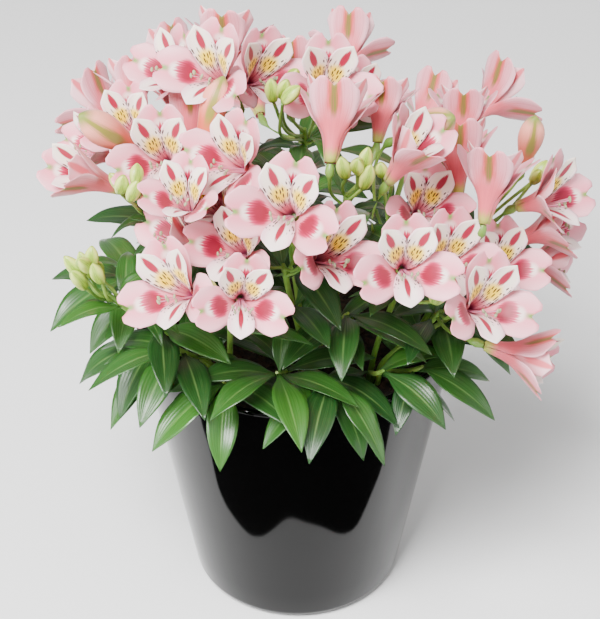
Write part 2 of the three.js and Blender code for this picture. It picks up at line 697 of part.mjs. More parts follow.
// A leaf that leaves its stem in one direction, arches over by its droop and turns on its length
function leafParts({ root, azimuth, elevation, droop, twist, length, half }, extra = 0) {
  const outward = compass(azimuth, 0);
  const start = THREE.MathUtils.degToRad(elevation);
  const fall = THREE.MathUtils.degToRad(droop);
  const at = (share) => {
    const slope = start - fall * share;
    const run = ((Math.sin(start) - Math.sin(slope)) / fall) * length;
    const rise = ((Math.cos(slope) - Math.cos(start)) / fall) * length;
    const along = outward.clone().multiplyScalar(Math.cos(slope)).setZ(Math.sin(slope));
    const side = new THREE.Vector3().crossVectors(UP, outward)
      .applyAxisAngle(along, THREE.MathUtils.degToRad(twist));
    const middle = root.clone().addScaledVector(outward, run).addScaledVector(UP, rise);
    return { middle, side, along, face: new THREE.Vector3().crossVectors(along, side) };
  };
  const cut = (share, width, cup) => ({
    ...at(share),
    half: half * width + extra,
    cup: cup * half,
    thickness: LEAF_THICKNESS + 2 * extra,
  });
  const tip = at(1);
  return {
    sections: [cut(0.42, 1, 0.22), cut(0.75, 0.66, 0.14)],
    end: [tip.middle.addScaledVector(tip.along, extra)],
  };
}

// The four corners of a stem or stalk at a share of its curve, the first of them nearest a given way
function ringOn(curve, share, radius, towards) {
  const ahead = curve.getTangent(share);
  const across = towards.clone().addScaledVector(ahead, -towards.dot(ahead)).normalize();
  const other = new THREE.Vector3().crossVectors(ahead, across);
  return [[1, 0], [0, 1], [-1, 0], [0, -1]].map(([x, y]) => curve.getPoint(share)
    .addScaledVector(across, x * radius).addScaledVector(other, y * radius));
}

// The rings of a stalk, turned no more from one to the next than its curve turns
function stalkRings({ curve, out, corner, profile }, extra = 0) {
  const towards = corner.clone();
  let ahead = out;
  return profile.map(([share, radius]) => {
    const next = curve.getTangent(share);
    towards.applyQuaternion(new THREE.Quaternion().setFromUnitVectors(ahead, next));
    ahead = next;
    return ringOn(curve, share, radius + extra, towards);
  });
}

// How thick a flower's stalk is along its curve: it swells into the ovary just below the flower
function ovaryProfile(length) {
  const neck = Math.max(1 - (OVARY_LENGTH + 1) / length, 0.3);
  return [
    [neck * 0.5, STALK_RADIUS], [neck, STALK_RADIUS],
    [1 - (OVARY_LENGTH * 0.5) / length, OVARY_RADIUS], [1, CORE_FOOT * 0.8],
  ];
}

function budProfile(length, size) {
  const neck = Math.max(1 - (BUD_LENGTH * size + 1) / length, 0.2);
  return [
    [neck * 0.5, STALK_RADIUS], [neck, STALK_RADIUS],
    [1 - (BUD_LENGTH * 0.66 * size) / length, BUD_RADIUS * size],
    [1 - (BUD_LENGTH * 0.26 * size) / length, BUD_RADIUS * 0.8 * size],
  ];
}

// Stems are square. What grows from one takes a side of a short stretch of it, a node, and shares
// the corners of that side, so that a stem with all that grows from it is one skin.
function makeStem(curve, radius, sideways, shares) {
  const half = NODE_HEIGHT / 2 / curve.getLength();
  const nodes = shares.map((share) => ({
    share,
    low: ringOn(curve, share - half, radius, sideways),
    high: ringOn(curve, share + half, radius, sideways),
    grown: [null, null, null, null],
  }));
  return { curve, radius, sideways, nodes };
}

function sidesOf(node) {
  return node.grown.map((grown, i) => {
    const next = (i + 1) % 4;
    const [a, b, c, d] = [node.low[i], node.low[next], node.high[next], node.high[i]];
    const across = b.clone().sub(a).normalize();
    const ahead = d.clone().sub(a).normalize();
    return {
      node, side: i, corners: [a, b, c, d], free: grown === null, across, ahead,
      middle: a.clone().add(b).add(c).add(d).multiplyScalar(0.25),
      corner: a.clone().sub(c).normalize(),
      out: new THREE.Vector3().crossVectors(across, ahead),
    };
  });
}

function addGrowth(points, faces, side, { leaf, stalk }, extra = 0) {
  if (leaf) {
    joinBlade(points, faces, side, leafParts(leaf, extra));
    return;
  }
  let ends = side;
  for (const ring of stalkRings(stalk, extra)) ends = joinRing(points, faces, ends, ring);
  closeRing(points, faces, ends, stalk.curve.getPoint(1));
}

// What has grown from one side, on its own
function growthSolid(corners, growth, extra = 0) {
  const points = corners.map((corner) => corner.clone());
  const faces = [[0, 2, 1], [0, 3, 2]];
  addGrowth(points, faces, [0, 1, 2, 3], growth, extra);
  return solid(points, faces);
}

function stemSkin({ curve, radius, sideways, nodes }) {
  const bare = nodes[0].share;
  const points = [curve.getPoint(0), ...ringOn(curve, 0, radius, sideways)];
  const faces = [0, 1, 2, 3].map((i) => [0, 1 + ((i + 1) % 4), 1 + i]);
  let corners = [1, 2, 3, 4];
  for (const share of [0.35, 0.7]) {
    corners = joinRing(points, faces, corners, ringOn(curve, share * bare, radius, sideways));
  }
  for (const { low, high, grown } of nodes) {
    const below = joinRing(points, faces, corners, low);
    const above = [0, 1, 2, 3].map((i) => points.length + i);
    points.push(...high);
    grown.forEach((growth, i) => {
      const next = (i + 1) % 4;
      const side = [below[i], below[next], above[next], above[i]];
      if (growth) addGrowth(points, faces, side, growth);
      else faces.push([side[0], side[1], side[2]], [side[0], side[2], side[3]]);
    });
    corners = above;
  }
  closeRing(points, faces, corners, curve.getPoint(1));
  return solid(points, faces);
}

// A stem rises straight from its crown and leans over towards its umbel
function stemCurve(from, to, bow) {
  const rise = to.z - from.z;
  const aside = new THREE.Vector3(-to.y, to.x, 0).normalize().multiplyScalar(bow);
  return new THREE.CubicBezierCurve3(
    from,
    from.clone().addScaledVector(UP, rise * 0.35).add(aside),
    to.clone().lerp(from, 0.3).setZ(to.z - rise * 0.32).add(aside),
    to);
}

// A low shoot leans out towards the rim and ends on the rise
function shootCurve(foot, { round, height, reach }, bow) {
  const aside = compass(round + 90, 0).multiplyScalar(bow);
  const end = compass(round, 0).multiplyScalar(reach).setZ(height);
  return new THREE.CubicBezierCurve3(
    foot, foot.clone().addScaledVector(UP, 18).add(aside),
    end.clone().addScaledVector(compass(round, 50), -18).add(aside), end);
}

function stalkCurve({ middle, out }, to, axis, [bow, lift, straight]) {
  const reach = middle.distanceTo(to);
  const aside = new THREE.Vector3().crossVectors(axis, out).normalize();
  const across = new THREE.Vector3().crossVectors(aside, axis);
  return new THREE.CubicBezierCurve3(
    middle,
    middle.clone().addScaledVector(out, Math.min(reach * 0.3, 6)),
    to.clone().addScaledVector(axis, -reach * straight).addScaledVector(aside, bow)
      .addScaledVector(across, lift),
    to);
}

// The first of some ways to make a part that meets nothing, or else the one that meets least
const BOWS = [0, 8, -8, 16, -16, 26, -26, 38, -38];
const STALK_BOWS = [
  [0, 0, 0.42], [6, 0, 0.42], [-6, 0, 0.42], [0, 6, 0.42], [0, -6, 0.42], [0, 0, 0.2],
  [12, 0, 0.42], [-12, 0, 0.42], [0, 13, 0.42], [0, -13, 0.42], [9, 0, 0.2], [-9, 0, 0.2],
  [0, 9, 0.2], [0, -9, 0.2], [12, 12, 0.3], [-12, 12, 0.3], [12, -12, 0.3], [-12, -12, 0.3],
  [22, 0, 0.3], [-22, 0, 0.3], [0, 22, 0.3], [0, -22, 0.3],
];
const BUD_DEPTHS = [0, 7, -6, 14, 22, -12, 32];

function clearest(ways, meets) {
  let best = null;
  for (const way of ways) {
    const hits = meets(way);
    if (!best || hits.length < best.hits.length) best = { way, hits };
    if (hits.length === 0) break;
  }
  return best;
}

function umbelPlace(stem) {
  const ends = [
    ...flowers.filter((flower) => flower.stem === stem)
      .map(({ frame }) => frame.place.clone().addScaledVector(frame.axis, -UMBEL_REACH)),
    ...BUDS.filter(([name]) => name === stem)
      .map(([, across, up, depth]) => onCanopy(across, up, depth).addScaledVector(UP, -UMBEL_REACH)),
  ];
  const middle = ends.reduce((sum, end) => sum.add(end), new THREE.Vector3())
    .divideScalar(ends.length);
  middle.addScaledVector(middle.clone().sub(CANOPY_CENTRE).setZ(0), -0.1);
  const ways = UMBEL_DROPS.map((drop) => middle.clone().addScaledVector(UP, -drop));
  const knot = (way) => spindle(way.clone().setZ(way.z - 14), UP, [[1, 6], [19, 6]], 20, 6);
  return clearest(ways, (way) => crossed(withBox(knot(way)), standing)).way;
}

const fixed = [withBox(potSolid()), withBox(soilSolid())];
const green = CLUMPS.map((clump) => {
  const crown = crownPlace(clump.round, clump.radius);
  const heart = spindle(
    crown, UP, [[0.5, CROWN_RADIUS], [HOLE_DEPTH - 4, CROWN_RADIUS]], HOLE_DEPTH - 1, 5);
  return { ...clump, crown, heart: withBox(heart), stalks: [] };
});

// Everything that stands apart from a clump, or from one stem of it
function others(clump, stem) {
  const apart = green.flatMap((other) => (other === clump
    ? other.stalks.filter((one) => stem && one !== stem).flatMap(({ skins }) => skins)
    : [other.heart, ...other.stalks.flatMap(({ skins }) => skins)]));
  return [...fixed, ...standing, ...apart];
}

function footOf(clump, round, height) {
  return clump.crown.clone().addScaledVector(compass(round, 0), 1.6).setZ(height);
}

// The straightest of some ways for a stem to rise clear of the rest
function risingStem(clump, curves, radius, sideways, sharesOf) {
  const make = (curve, extra) => makeStem(curve, radius + extra, sideways, sharesOf(curve.getLength()));
  const obstacles = others(clump);
  const { way, hits } = clearest(
    curves, (curve) => crossed(withBox(stemSkin(make(curve, CLEARANCE))), obstacles));
  const stem = make(way, 0);
  return { ...stem, skins: [withBox(stemSkin(stem))], hits };
}

function growStem(clump, name) {
  const umbel = umbelPlace(name);
  const lean = umbel.clone().sub(clump.crown);
  const round = THREE.MathUtils.radToDeg(Math.atan2(lean.x, -lean.y));
  const foot = footOf(clump, round, SOIL_LEVEL - HOLE_DEPTH / 2);
  const budCount = BUDS.filter(([stem]) => stem === name).reduce((sum, bud) => sum + bud[4], 0);
  const heads = flowers.filter(({ stem }) => stem === name).length + budCount + WHORL_LEAVES;
  const rows = Math.ceil(heads / 4) + 1;
  const sharesOf = (length) => {
    const shares = LOW_NODES.map((share) => share * (1 - (rows * NODE_SPACING) / length));
    for (let row = rows - 1; row >= 0; row -= 1) {
      shares.push(1 - (NODE_HEIGHT * 0.9 + row * NODE_SPACING) / length);
    }
    return shares;
  };
  const stem = risingStem(clump, BOWS.map((bow) => stemCurve(foot, umbel, bow)),
    STEM_RADIUS, compass(round + 90, 0), sharesOf);
  clump.stalks.push({ ...stem, name, round });
}

function growShoot(clump, [round, height, reach]) {
  const foot = footOf(clump, round, SOIL_LEVEL - 5);
  const stem = risingStem(clump, BOWS.map((bow) => shootCurve(foot, { round, height, reach }, bow)),
    SHOOT_RADIUS, compass(round + 90, 0),
    (length) => [0.42, 0.66, 0.86, 1 - (NODE_HEIGHT * 0.9) / length]);
  if (stem.hits.length === 0) clump.stalks.push({ ...stem, round, height });
}

// Whether an edge passes through a triangle, touching aside
function pierces(from, to, [a, b, c]) {
  const ray = new THREE.Ray(from, to.clone().sub(from).normalize());
  const hit = ray.intersectTriangle(a, b, c, false, new THREE.Vector3());
  if (!hit) return false;
  const reached = hit.distanceTo(from);
  const shares = THREE.Triangle.getBarycoord(hit, a, b, c, new THREE.Vector3());
  return reached > TOUCH && reached < from.distanceTo(to) - TOUCH
    && shares !== null && Math.min(shares.x, shares.y, shares.z) > TOUCH;
}

function trianglesOf({ vertProperties, triVerts }) {
  const corner = (i) => new THREE.Vector3().fromArray(vertProperties, triVerts[i] * 3);
  const triangles = [];
  for (let i = 0; i < triVerts.length; i += 3) {
    triangles.push([corner(i), corner(i + 1), corner(i + 2)]);
  }
  return triangles;
}

function anyPierces(triangles, others) {
  return triangles.some(([a, b, c]) => others.some((other) => (
    pierces(a, b, other) || pierces(b, c, other) || pierces(c, a, other))));
}

// Whether what grows from a side folds on itself, or cuts into the rest of its stem
function cutsIn(skin, stem) {
  const triangles = trianglesOf(skin.shape.getMesh());
  if (anyPierces(triangles, triangles) || overlapping(skin, stem.skins).length > 0) return true;
  return stem.skins.filter((other) => boxesMeet(skin, other)).some((other) => {
    const rest = trianglesOf(other.shape.getMesh());
    return anyPierces(triangles, rest) || anyPierces(rest, triangles);
  });
}

// A stalk takes the free side near the stem's top that lets it reach its place clear of the rest
function growStalk(clump, stem, to, axis, profileOf) {
  const sides = stem.nodes.slice(LOW_NODES.length).flatMap(sidesOf).filter(({ free }) => free);
  const aim = to.clone().sub(stem.curve.getPoint(1)).normalize();
  sides.sort((a, b) => b.out.dot(aim) - a.out.dot(aim));
  const ways = STALK_BOWS.flatMap((bow) => sides.slice(0, 8).map((side) => {
    const curve = stalkCurve(side, to, axis, bow);
    const { out, corner } = side;
    return { side, stalk: { curve, out, corner, profile: profileOf(curve.getLength()) } };
  }));
  const obstacles = others(clump, stem);
  const { way, hits } = clearest(ways, ({ side, stalk }) => {
    const met = crossed(withBox(growthSolid(side.corners, { stalk }, CLEARANCE * 0.9)), obstacles);
    if (met.length > 0) return met;
    const skin = withBox(growthSolid(side.corners, { stalk }));
    return cutsIn(skin, stem) ? [skin] : [];
  });
  return { ...way, hits };
}

function take(stem, { node, side, corners }, growth) {
  node.grown[side] = growth;
  stem.skins.push(withBox(growthSolid(corners, growth)));
}

function growFlowerStalks(clump, stem) {
  for (const { frame, name } of flowers.filter((flower) => flower.stem === stem.name)) {
    const foot = frame.place.clone().addScaledVector(frame.axis, -GAP);
    const way = growStalk(clump, stem, foot, frame.axis, ovaryProfile);
    take(stem, way.side, { stalk: way.stalk });
  }
}

function growBuds(clump, stem) {
  for (const [, across, up, depth, count, size] of BUDS.filter(([name]) => name === stem.name)) {
    for (let i = 0; i < count; i += 1) {
      const axis = compass(i * GOLDEN, count > 1 ? 48 : 80);
      for (const further of BUD_DEPTHS) {
        const tip = onCanopy(across, up, depth + further)
          .addScaledVector(axis, BUD_LENGTH * size).addScaledVector(UP, -i * 1.5);
        const way = growStalk(clump, stem, tip, axis, (length) => budProfile(length, size));
        if (way.hits.length > 0) continue;
        take(stem, way.side, { stalk: way.stalk });
        break;
      }
    }
  }
}

// Each leaf is tried as it is drawn, then turned aside, lowered or raised, and made smaller. One that
// is never clear of the rest, or that meets its own clump past its root, is left out.
const LEAF_TRIES = [
  [0, 0, 1], [22, 0, 1], [-22, 0, 1], [0, -20, 1], [0, 20, 1], [40, -12, 1], [-40, -12, 1],
  [0, 40, 1], [60, 20, 1], [-60, 20, 1], [0, 0, 0.74], [30, 20, 0.74], [-30, 20, 0.74],
  [30, -30, 0.74], [-30, -30, 0.74], [70, 30, 0.74], [-70, 30, 0.74],
];

// The free side of a node that a leaf can grow from with the least turn
function sideFor(node, { azimuth, elevation }) {
  const along = compass(azimuth, elevation);
  const side = new THREE.Vector3().crossVectors(UP, compass(azimuth, 0));
  const face = new THREE.Vector3().crossVectors(along, side);
  const fit = (one) => one.out.dot(along) + one.across.dot(side) + one.ahead.dot(face);
  return sidesOf(node).filter(({ free }) => free).sort((a, b) => fit(b) - fit(a))
    .find((one) => one.out.dot(along) > 0.3 && fit(one) > LEAST_FIT);
}

function growLeaf(clump, stem, node, leaf) {
  const obstacles = others(clump, stem);
  for (const [turn, raise, scale] of LEAF_TRIES) {
    const tried = {
      ...leaf,
      azimuth: leaf.azimuth + turn,
      elevation: leaf.elevation + raise,
      length: leaf.length * scale,
      half: leaf.half * scale,
    };
    const place = sideFor(node, tried);
    if (!place) continue;
    tried.root = place.middle;
    const growth = { leaf: tried };
    const met = crossed(withBox(growthSolid(place.corners, growth, CLEARANCE)), obstacles);
    if (met.length > 0 || cutsIn(withBox(growthSolid(place.corners, growth)), stem)) continue;
    take(stem, place, growth);
    return;
  }
}

function growShootLeaves(clump, shoot) {
  const { nodes, round, height } = shoot;
  const low = height < 183;
  SHOOT_FAN.forEach((fan, i) => {
    const node = nodes[nodes.length - 1 - Math.floor(i / 2)];
    growLeaf(clump, shoot, node, {
      azimuth: spread(round + fan, 8),
      elevation: spread(low ? -8 : 6, 12) + (1 - node.share) * 70,
      droop: spread(48, 12),
      twist: spread(0, 16),
      length: spread(LEAF_LENGTH, 4),
      half: spread(LEAF_HALF_WIDTH, 0.5),
    });
  });
}

function growStemLeaves(clump, stem) {
  const { nodes, name, round } = stem;
  const count = name === "bud_stem" ? STEM_LEAVES + 3 : STEM_LEAVES;
  for (let i = 0; i < count; i += 1) {
    const top = i < WHORL_LEAVES;
    const node = nodes[top ? LOW_NODES.length + (i % 2) : [1, 2, 0][i % 3]];
    growLeaf(clump, stem, node, {
      azimuth: spread(i * GOLDEN + round, 20),
      elevation: spread(top ? 30 : 18, 12),
      droop: spread(38, 12),
      twist: spread(0, 20),
      length: spread(top ? LEAF_LENGTH * 0.85 : LEAF_LENGTH, 3),
      half: spread(top ? LEAF_HALF_WIDTH * 0.75 : LEAF_HALF_WIDTH, 0.5),
    });
  }
}

for (const clump of green) clump.stems.forEach((name) => growStem(clump, name));
for (const clump of green) clump.stalks.forEach((stem) => growFlowerStalks(clump, stem));
for (const clump of green) clump.stalks.forEach((stem) => growBuds(clump, stem));
for (const clump of green) clump.shoots.forEach((shoot) => growShoot(clump, shoot));
for (const clump of green) {
  for (const stalk of clump.stalks) {
    if (stalk.name) growStemLeaves(clump, stalk);
    else growShootLeaves(clump, stalk);
  }
}

function clumpSolid({ heart, stalks }) {
  return unite([heart.shape, ...stalks.map(stemSkin)]);
}

const plant = new THREE.Group();
plant.add(meshFrom("pot", fixed[0].shape, COLOURS.glaze, 0.08));
plant.add(meshFrom("soil", fixed[1].shape, COLOURS.soil, 0.95));
for (const bunch of standing) {
  plant.add(meshFrom(bunch.names[0], bunch.shape, COLOURS.petal, 0.5));
}
for (const clump of green) {
  plant.add(meshFrom(clump.name, clumpSolid(clump), COLOURS.leaf, 0.45));
}

export default plant;
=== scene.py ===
# %% [markdown]
# # A potted Peruvian lily
# The plain solids of this plant say where every flower, leaf and stem stands. This lesson dresses them:
# each flower, clump of leaves, the soil and the pot get a finer piece that keeps the solid's form, and a
# finish named for what the real thing is made of.

# %% Load the frame
import json
import math
import random

import bmesh
import bpy
import numpy as np
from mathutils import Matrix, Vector
from mathutils.kdtree import KDTree

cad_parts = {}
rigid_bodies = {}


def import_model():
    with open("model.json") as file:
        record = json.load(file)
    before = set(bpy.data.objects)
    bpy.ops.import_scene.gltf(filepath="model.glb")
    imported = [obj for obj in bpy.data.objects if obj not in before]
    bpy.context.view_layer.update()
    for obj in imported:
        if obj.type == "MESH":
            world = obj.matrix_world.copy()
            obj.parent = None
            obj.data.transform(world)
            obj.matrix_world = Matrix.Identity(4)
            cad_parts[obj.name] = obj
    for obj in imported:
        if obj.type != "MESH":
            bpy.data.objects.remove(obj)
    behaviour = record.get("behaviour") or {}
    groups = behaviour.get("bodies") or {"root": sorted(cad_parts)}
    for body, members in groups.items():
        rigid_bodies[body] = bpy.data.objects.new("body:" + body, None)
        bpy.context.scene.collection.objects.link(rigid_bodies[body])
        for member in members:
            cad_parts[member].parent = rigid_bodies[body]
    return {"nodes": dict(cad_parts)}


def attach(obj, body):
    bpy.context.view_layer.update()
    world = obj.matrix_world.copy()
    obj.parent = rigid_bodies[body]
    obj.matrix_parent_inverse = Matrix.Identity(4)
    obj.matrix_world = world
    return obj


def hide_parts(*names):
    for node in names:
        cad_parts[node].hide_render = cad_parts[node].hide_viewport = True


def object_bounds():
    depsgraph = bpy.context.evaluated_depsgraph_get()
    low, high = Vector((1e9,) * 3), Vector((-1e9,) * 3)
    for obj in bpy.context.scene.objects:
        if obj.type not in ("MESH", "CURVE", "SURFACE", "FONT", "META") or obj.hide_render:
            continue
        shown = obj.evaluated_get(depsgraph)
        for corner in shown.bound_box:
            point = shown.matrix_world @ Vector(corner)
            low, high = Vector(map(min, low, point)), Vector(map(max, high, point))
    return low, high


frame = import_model()
cad_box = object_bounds()
MM = 0.001
LESSON_SEED = 20416


def new_object(name, data):
    """Puts new data into the scene as an object."""
    made = bpy.data.objects.new(name, data)
    bpy.context.scene.collection.objects.link(made)
    return made


print("nodes in the frame:", len(frame["nodes"]))

# %% [markdown]
# ## The camera
# The photograph looks down on the plant with a long lens. The eye is aimed at a point on the pot's axis,
# and a little to its right, because the pot stands left of the middle of the picture.

# %% Camera
EYE_ELEVATION = math.radians(36.5)
EYE_DISTANCE = 984
SIGHT_HEIGHT = 165.6
SIGHT_ACROSS = 1.5
LENS = 112.3
SIGHT = np.array([0, math.cos(EYE_ELEVATION), -math.sin(EYE_ELEVATION)])
SIGHT_UP = np.array([0, math.sin(EYE_ELEVATION), math.cos(EYE_ELEVATION)])
EYE = np.array([0, 0, SIGHT_HEIGHT]) - SIGHT * EYE_DISTANCE

camera = new_object("camera", bpy.data.cameras.new("camera"))
camera.data.lens = LENS
camera.data.clip_end = 20
camera.location = Vector(EYE * MM) + Vector((SIGHT_ACROSS * MM, 0, 0))
camera.rotation_euler = (math.pi / 2 - EYE_ELEVATION, 0, 0)
bpy.context.scene.camera = camera
print("camera at", [round(x, 3) for x in camera.location])

# %% [markdown]
# ## Colours and shader nodes
# Colours are written as they look on a screen, and one function turns them into the linear light that
# the shaders work with. One more function adds a node with its settings and its links.

# %% Colour and node helpers
def linear(colour):
    parts = [int(colour[i:i + 2], 16) / 255 for i in (1, 3, 5)]
    return [p / 12.92 if p <= 0.04045 else ((p + 0.055) / 1.055) ** 2.4 for p in parts] + [1]


def add(tree, kind, links=None, **settings):
    """Adds a node. A link is a value, a colour or another node's output socket, given by the input."""
    made = tree.nodes.new(kind)
    for name, value in settings.items():
        setattr(made, name, value)
    for name, value in (links or {}).items():
        if isinstance(value, bpy.types.NodeSocket):
            tree.links.new(value, made.inputs[name])
        else:
            coloured = isinstance(value, str) and value.startswith("#")
            made.inputs[name].default_value = linear(value) if coloured else value
    return made


print("a middle grey in linear light:", [round(part, 3) for part in linear("#808080")])

# %% [markdown]
# ## Painting a finish
# A finish is painted like a picture: coat over coat, each laid on through a mask. On petals and leaves the
# masks are drawn along and across the blade, so the marks follow it wherever it turns.

# %% Painting a finish
class Finish:
    """A material under work: its node tree, its shader and the ways of painting on it."""

    def __init__(self, name, **shader):
        self.material = bpy.data.materials.new(name)
        self.material.use_nodes = True
        self.tree = self.material.node_tree
        self.shader = self.tree.nodes["Principled BSDF"]
        for key, value in shader.items():
            setting = linear(value) if isinstance(value, str) else value
            self.shader.inputs[key.replace("_", " ")].default_value = setting

    def read_blade(self):
        """How far along a blade a point is, from 0 to 1, across it, and aside from its middle line."""
        place = add(self.tree, "ShaderNodeSeparateXYZ", {0: add(self.tree, "ShaderNodeUVMap").outputs[0]})
        self.along, self.across = place.outputs[0], place.outputs[1]
        off = self.calc("ABSOLUTE", self.calc("SUBTRACT", self.across, 0.5), 0.0)
        self.aside = self.calc("MULTIPLY", off, 2.0)

    def calc(self, operation, first, *others):
        """Arithmetic on numbers or sockets, with one node for each further value."""
        for other in others:
            first = add(self.tree, "ShaderNodeMath", {0: first, 1: other}, operation=operation).outputs[0]
        return first

    def mask(self, *edges):
        """1 where each value is past its edge, 0 before it. An edge goes from one number to another."""
        masks = []
        for value, before, past in edges:
            masks.append(add(self.tree, "ShaderNodeMapRange", {
                "Value": value, "From Min": min(before, past), "From Max": max(before, past),
                "To Min": float(past < before), "To Max": float(past > before)},
                interpolation_type="SMOOTHSTEP").outputs["Result"])
        return self.calc("MULTIPLY", *masks)

    def coats(self, ground, *coats):
        """Lays coats over a ground. Each is a colour and how much of it there is."""
        for colour, amount in coats:
            mix = add(self.tree, "ShaderNodeMix", {0: amount, 6: ground, 7: colour}, data_type="RGBA")
            ground = mix.outputs[2]
        return ground

    def noise(self, scale, detail=2.0):
        place = add(self.tree, "ShaderNodeTexCoord").outputs["Object"]
        return add(self.tree, "ShaderNodeTexNoise", {
            "Vector": place, "Scale": scale, "Detail": detail}).outputs["Fac"]

    def stretched(self, long, fine):
        """Blade places, drawn out: so many units along the blade and so many across it."""
        return add(self.tree, "ShaderNodeCombineXYZ", {
            0: self.calc("MULTIPLY", self.along, long),
            1: self.calc("MULTIPLY", self.across, fine)}).outputs[0]

    def streaks(self, fine, long):
        return add(self.tree, "ShaderNodeTexNoise", {
            "Vector": self.stretched(long, fine), "Scale": 1.0, "Detail": 2.0,
            "Roughness": 0.6}).outputs["Fac"]

    def ragged(self, amount):
        """The way along, shifted in narrow stripes, so that what is drawn by it ends like a comb."""
        shift = self.calc("MULTIPLY", self.calc("SUBTRACT", self.streaks(26.0, 1.5), 0.5), amount)
        return self.calc("ADD", self.along, shift)

    def spot(self, along, centre, long, wide, soft):
        """An oval on the middle line: its centre, half its length, half its width and its softness."""
        far = self.calc("DIVIDE", self.calc("SUBTRACT", along, centre), long)
        reach = self.calc("ADD", self.calc("POWER", self.calc("ABSOLUTE", far, 0.0), 2.0),
                          self.calc("POWER", self.calc("DIVIDE", self.aside, wide), 2.0))
        return self.mask((reach, 1.0 + soft, 1.0 - soft))

    def dashes(self, low, high):
        """Short dashes along the blade: stretched cells, of which some are left out."""
        vector = self.stretched(11.0, 8.0)
        cells = add(self.tree, "ShaderNodeTexVoronoi", {"Vector": vector, "Scale": 1.0, "Randomness": 0.8})
        reach = vector
        for operation, other in (("SUBTRACT", cells.outputs["Position"]), ("MULTIPLY", (1.0, 1.9, 0.0)),
                                 ("LENGTH", (0.0, 0.0, 0.0))):
            node = add(self.tree, "ShaderNodeVectorMath", {0: reach, 1: other}, operation=operation)
            reach = node.outputs["Value" if operation == "LENGTH" else "Vector"]
        kept = add(self.tree, "ShaderNodeSeparateXYZ", {0: cells.outputs["Color"]}).outputs[0]
        return self.mask((reach, 0.5, 0.38), (kept, 0.42, 0.46), (self.along, low, low + 0.04),
                         (self.along, high, high - 0.04))

    def done(self, colour=None, height=None, strength=0.0, distance=0.0):
        """Joins the colour and the relief to the shader."""
        if colour is not None:
            self.tree.links.new(colour, self.shader.inputs["Base Color"])
        if height is not None:
            bump = add(self.tree, "ShaderNodeBump", {
                "Height": height, "Strength": strength, "Distance": distance})
            self.tree.links.new(bump.outputs[0], self.shader.inputs["Normal"])
        return self.material


print("ready to paint")

# %% [markdown]
# ## Petals
# The flower of an alstroemeria has six tepals. Three broad outer ones carry a crimson blotch and a green
# notch at the tip. Two inner ones stand up, cream with a yellow patch, maroon dashes and a crimson flame,
# and the lowest one is a plain lip with a streak. Living petals are soft: light goes a little way in, so
# each of them has some subsurface colour, and a satin surface with fine veins in low relief.

# %% Petal finishes
PETAL = {"Roughness": 0.45, "Subsurface_Weight": 0.1, "Subsurface_Scale": 0.0012,
         "Subsurface_Radius": (1.0, 0.55, 0.5), "Sheen_Weight": 0.15, "IOR": 1.4}


def petal_finish(draw):
    """The skin of a petal, with the marks that one of the functions below draws."""
    petal = Finish("living_petal_" + draw.__name__, **PETAL)
    petal.read_blade()
    return petal.done(draw(petal), petal.streaks(34.0, 2.0), 0.25, 0.0003)


def outer_face(petal):
    """Pink, deeper towards the foot, with a pale patch, a ragged blotch in two coats and a green tip."""
    comb = petal.ragged(0.24)
    return petal.coats(
        "#EA8799",
        ("#F3ACB8", petal.mask((petal.aside, 0.1, 0.95))),
        ("#DE6F86", petal.mask((comb, 0.42, 0.08))),
        ("#F3DCD6", petal.spot(petal.along, 0.74, 0.08, 0.3, 0.9)),
        ("#C2305A", petal.spot(comb, 0.59, 0.15, 0.56, 0.3)),
        ("#8E0830", petal.spot(comb, 0.58, 0.11, 0.46, 0.6)),
        ("#6E9440", petal.mask((petal.along, 0.78, 0.88), (petal.aside, 0.2, 0.02))),
    )


def inner_face(petal):
    """Cream, salmon towards the foot, with a yellow patch, fine lines, a flame and maroon dashes."""
    comb = petal.ragged(0.18)
    beside_flame = petal.calc("MAXIMUM", petal.mask((petal.along, 0.66, 0.62)),
                              petal.mask((petal.aside, 0.36, 0.5)))
    return petal.coats(
        "#FAEBDC",
        ("#F7D6D8", petal.mask((petal.aside, 0.6, 1.0))),
        ("#E88F98", petal.mask((comb, 0.46, 0.28))),
        ("#FFDA10", petal.spot(comb, 0.54, 0.13, 0.75, 0.85)),
        ("#B23A62", petal.mask((petal.streaks(26.0, 1.0), 0.5, 0.62), (petal.along, 0.5, 0.34))),
        ("#B54372", petal.mask((petal.along, 0.24, 0.1))),
        ("#9C0C34", petal.spot(comb, 0.79, 0.13, 0.26, 0.4)),
        ("#32080F", petal.calc("MULTIPLY", petal.dashes(0.29, 0.76), beside_flame)),
    )


def lip_face(petal):
    """White with pink margins, a magenta foot, a crimson streak and a few dashes at the sides."""
    sides = petal.mask((petal.aside, 0.4, 0.5))
    return petal.coats(
        "#FAE6E2",
        ("#F3C3CD", petal.mask((petal.aside, 0.4, 1.0))),
        ("#C9557E", petal.mask((petal.along, 0.42, 0.16))),
        ("#9C0C34", petal.spot(petal.ragged(0.2), 0.62, 0.2, 0.2, 0.4)),
        ("#32080F", petal.calc("MULTIPLY", sides, petal.dashes(0.42, 0.7))),
    )


def outer_back(petal):
    """Salmon pink with paler margins, an olive stripe with a red border, fine veins and a green foot."""
    comb = petal.ragged(0.3)
    width = petal.calc("ADD", petal.aside, petal.calc("MULTIPLY", petal.streaks(22.0, 3.0), 0.3))
    veins = petal.mask((petal.streaks(40.0, 1.0), 0.5, 0.66))
    return petal.coats(
        "#E2636F",
        ("#EE98A5", petal.mask((comb, 0.42, 0.8))),
        ("#F2B2BE", petal.mask((petal.aside, 0.5, 1.0), (petal.along, 0.4, 0.6))),
        ("#D9504F", petal.mask((width, 0.62, 0.3), (petal.along, 0.5, 0.66))),
        ("#77702A", petal.mask((width, 0.34, 0.22), (petal.along, 0.45, 0.62))),
        ("#C44A5E", petal.calc("MULTIPLY", veins, 0.4)),
        ("#A9B04A", petal.mask((comb, 0.2, 0.04))),
    )


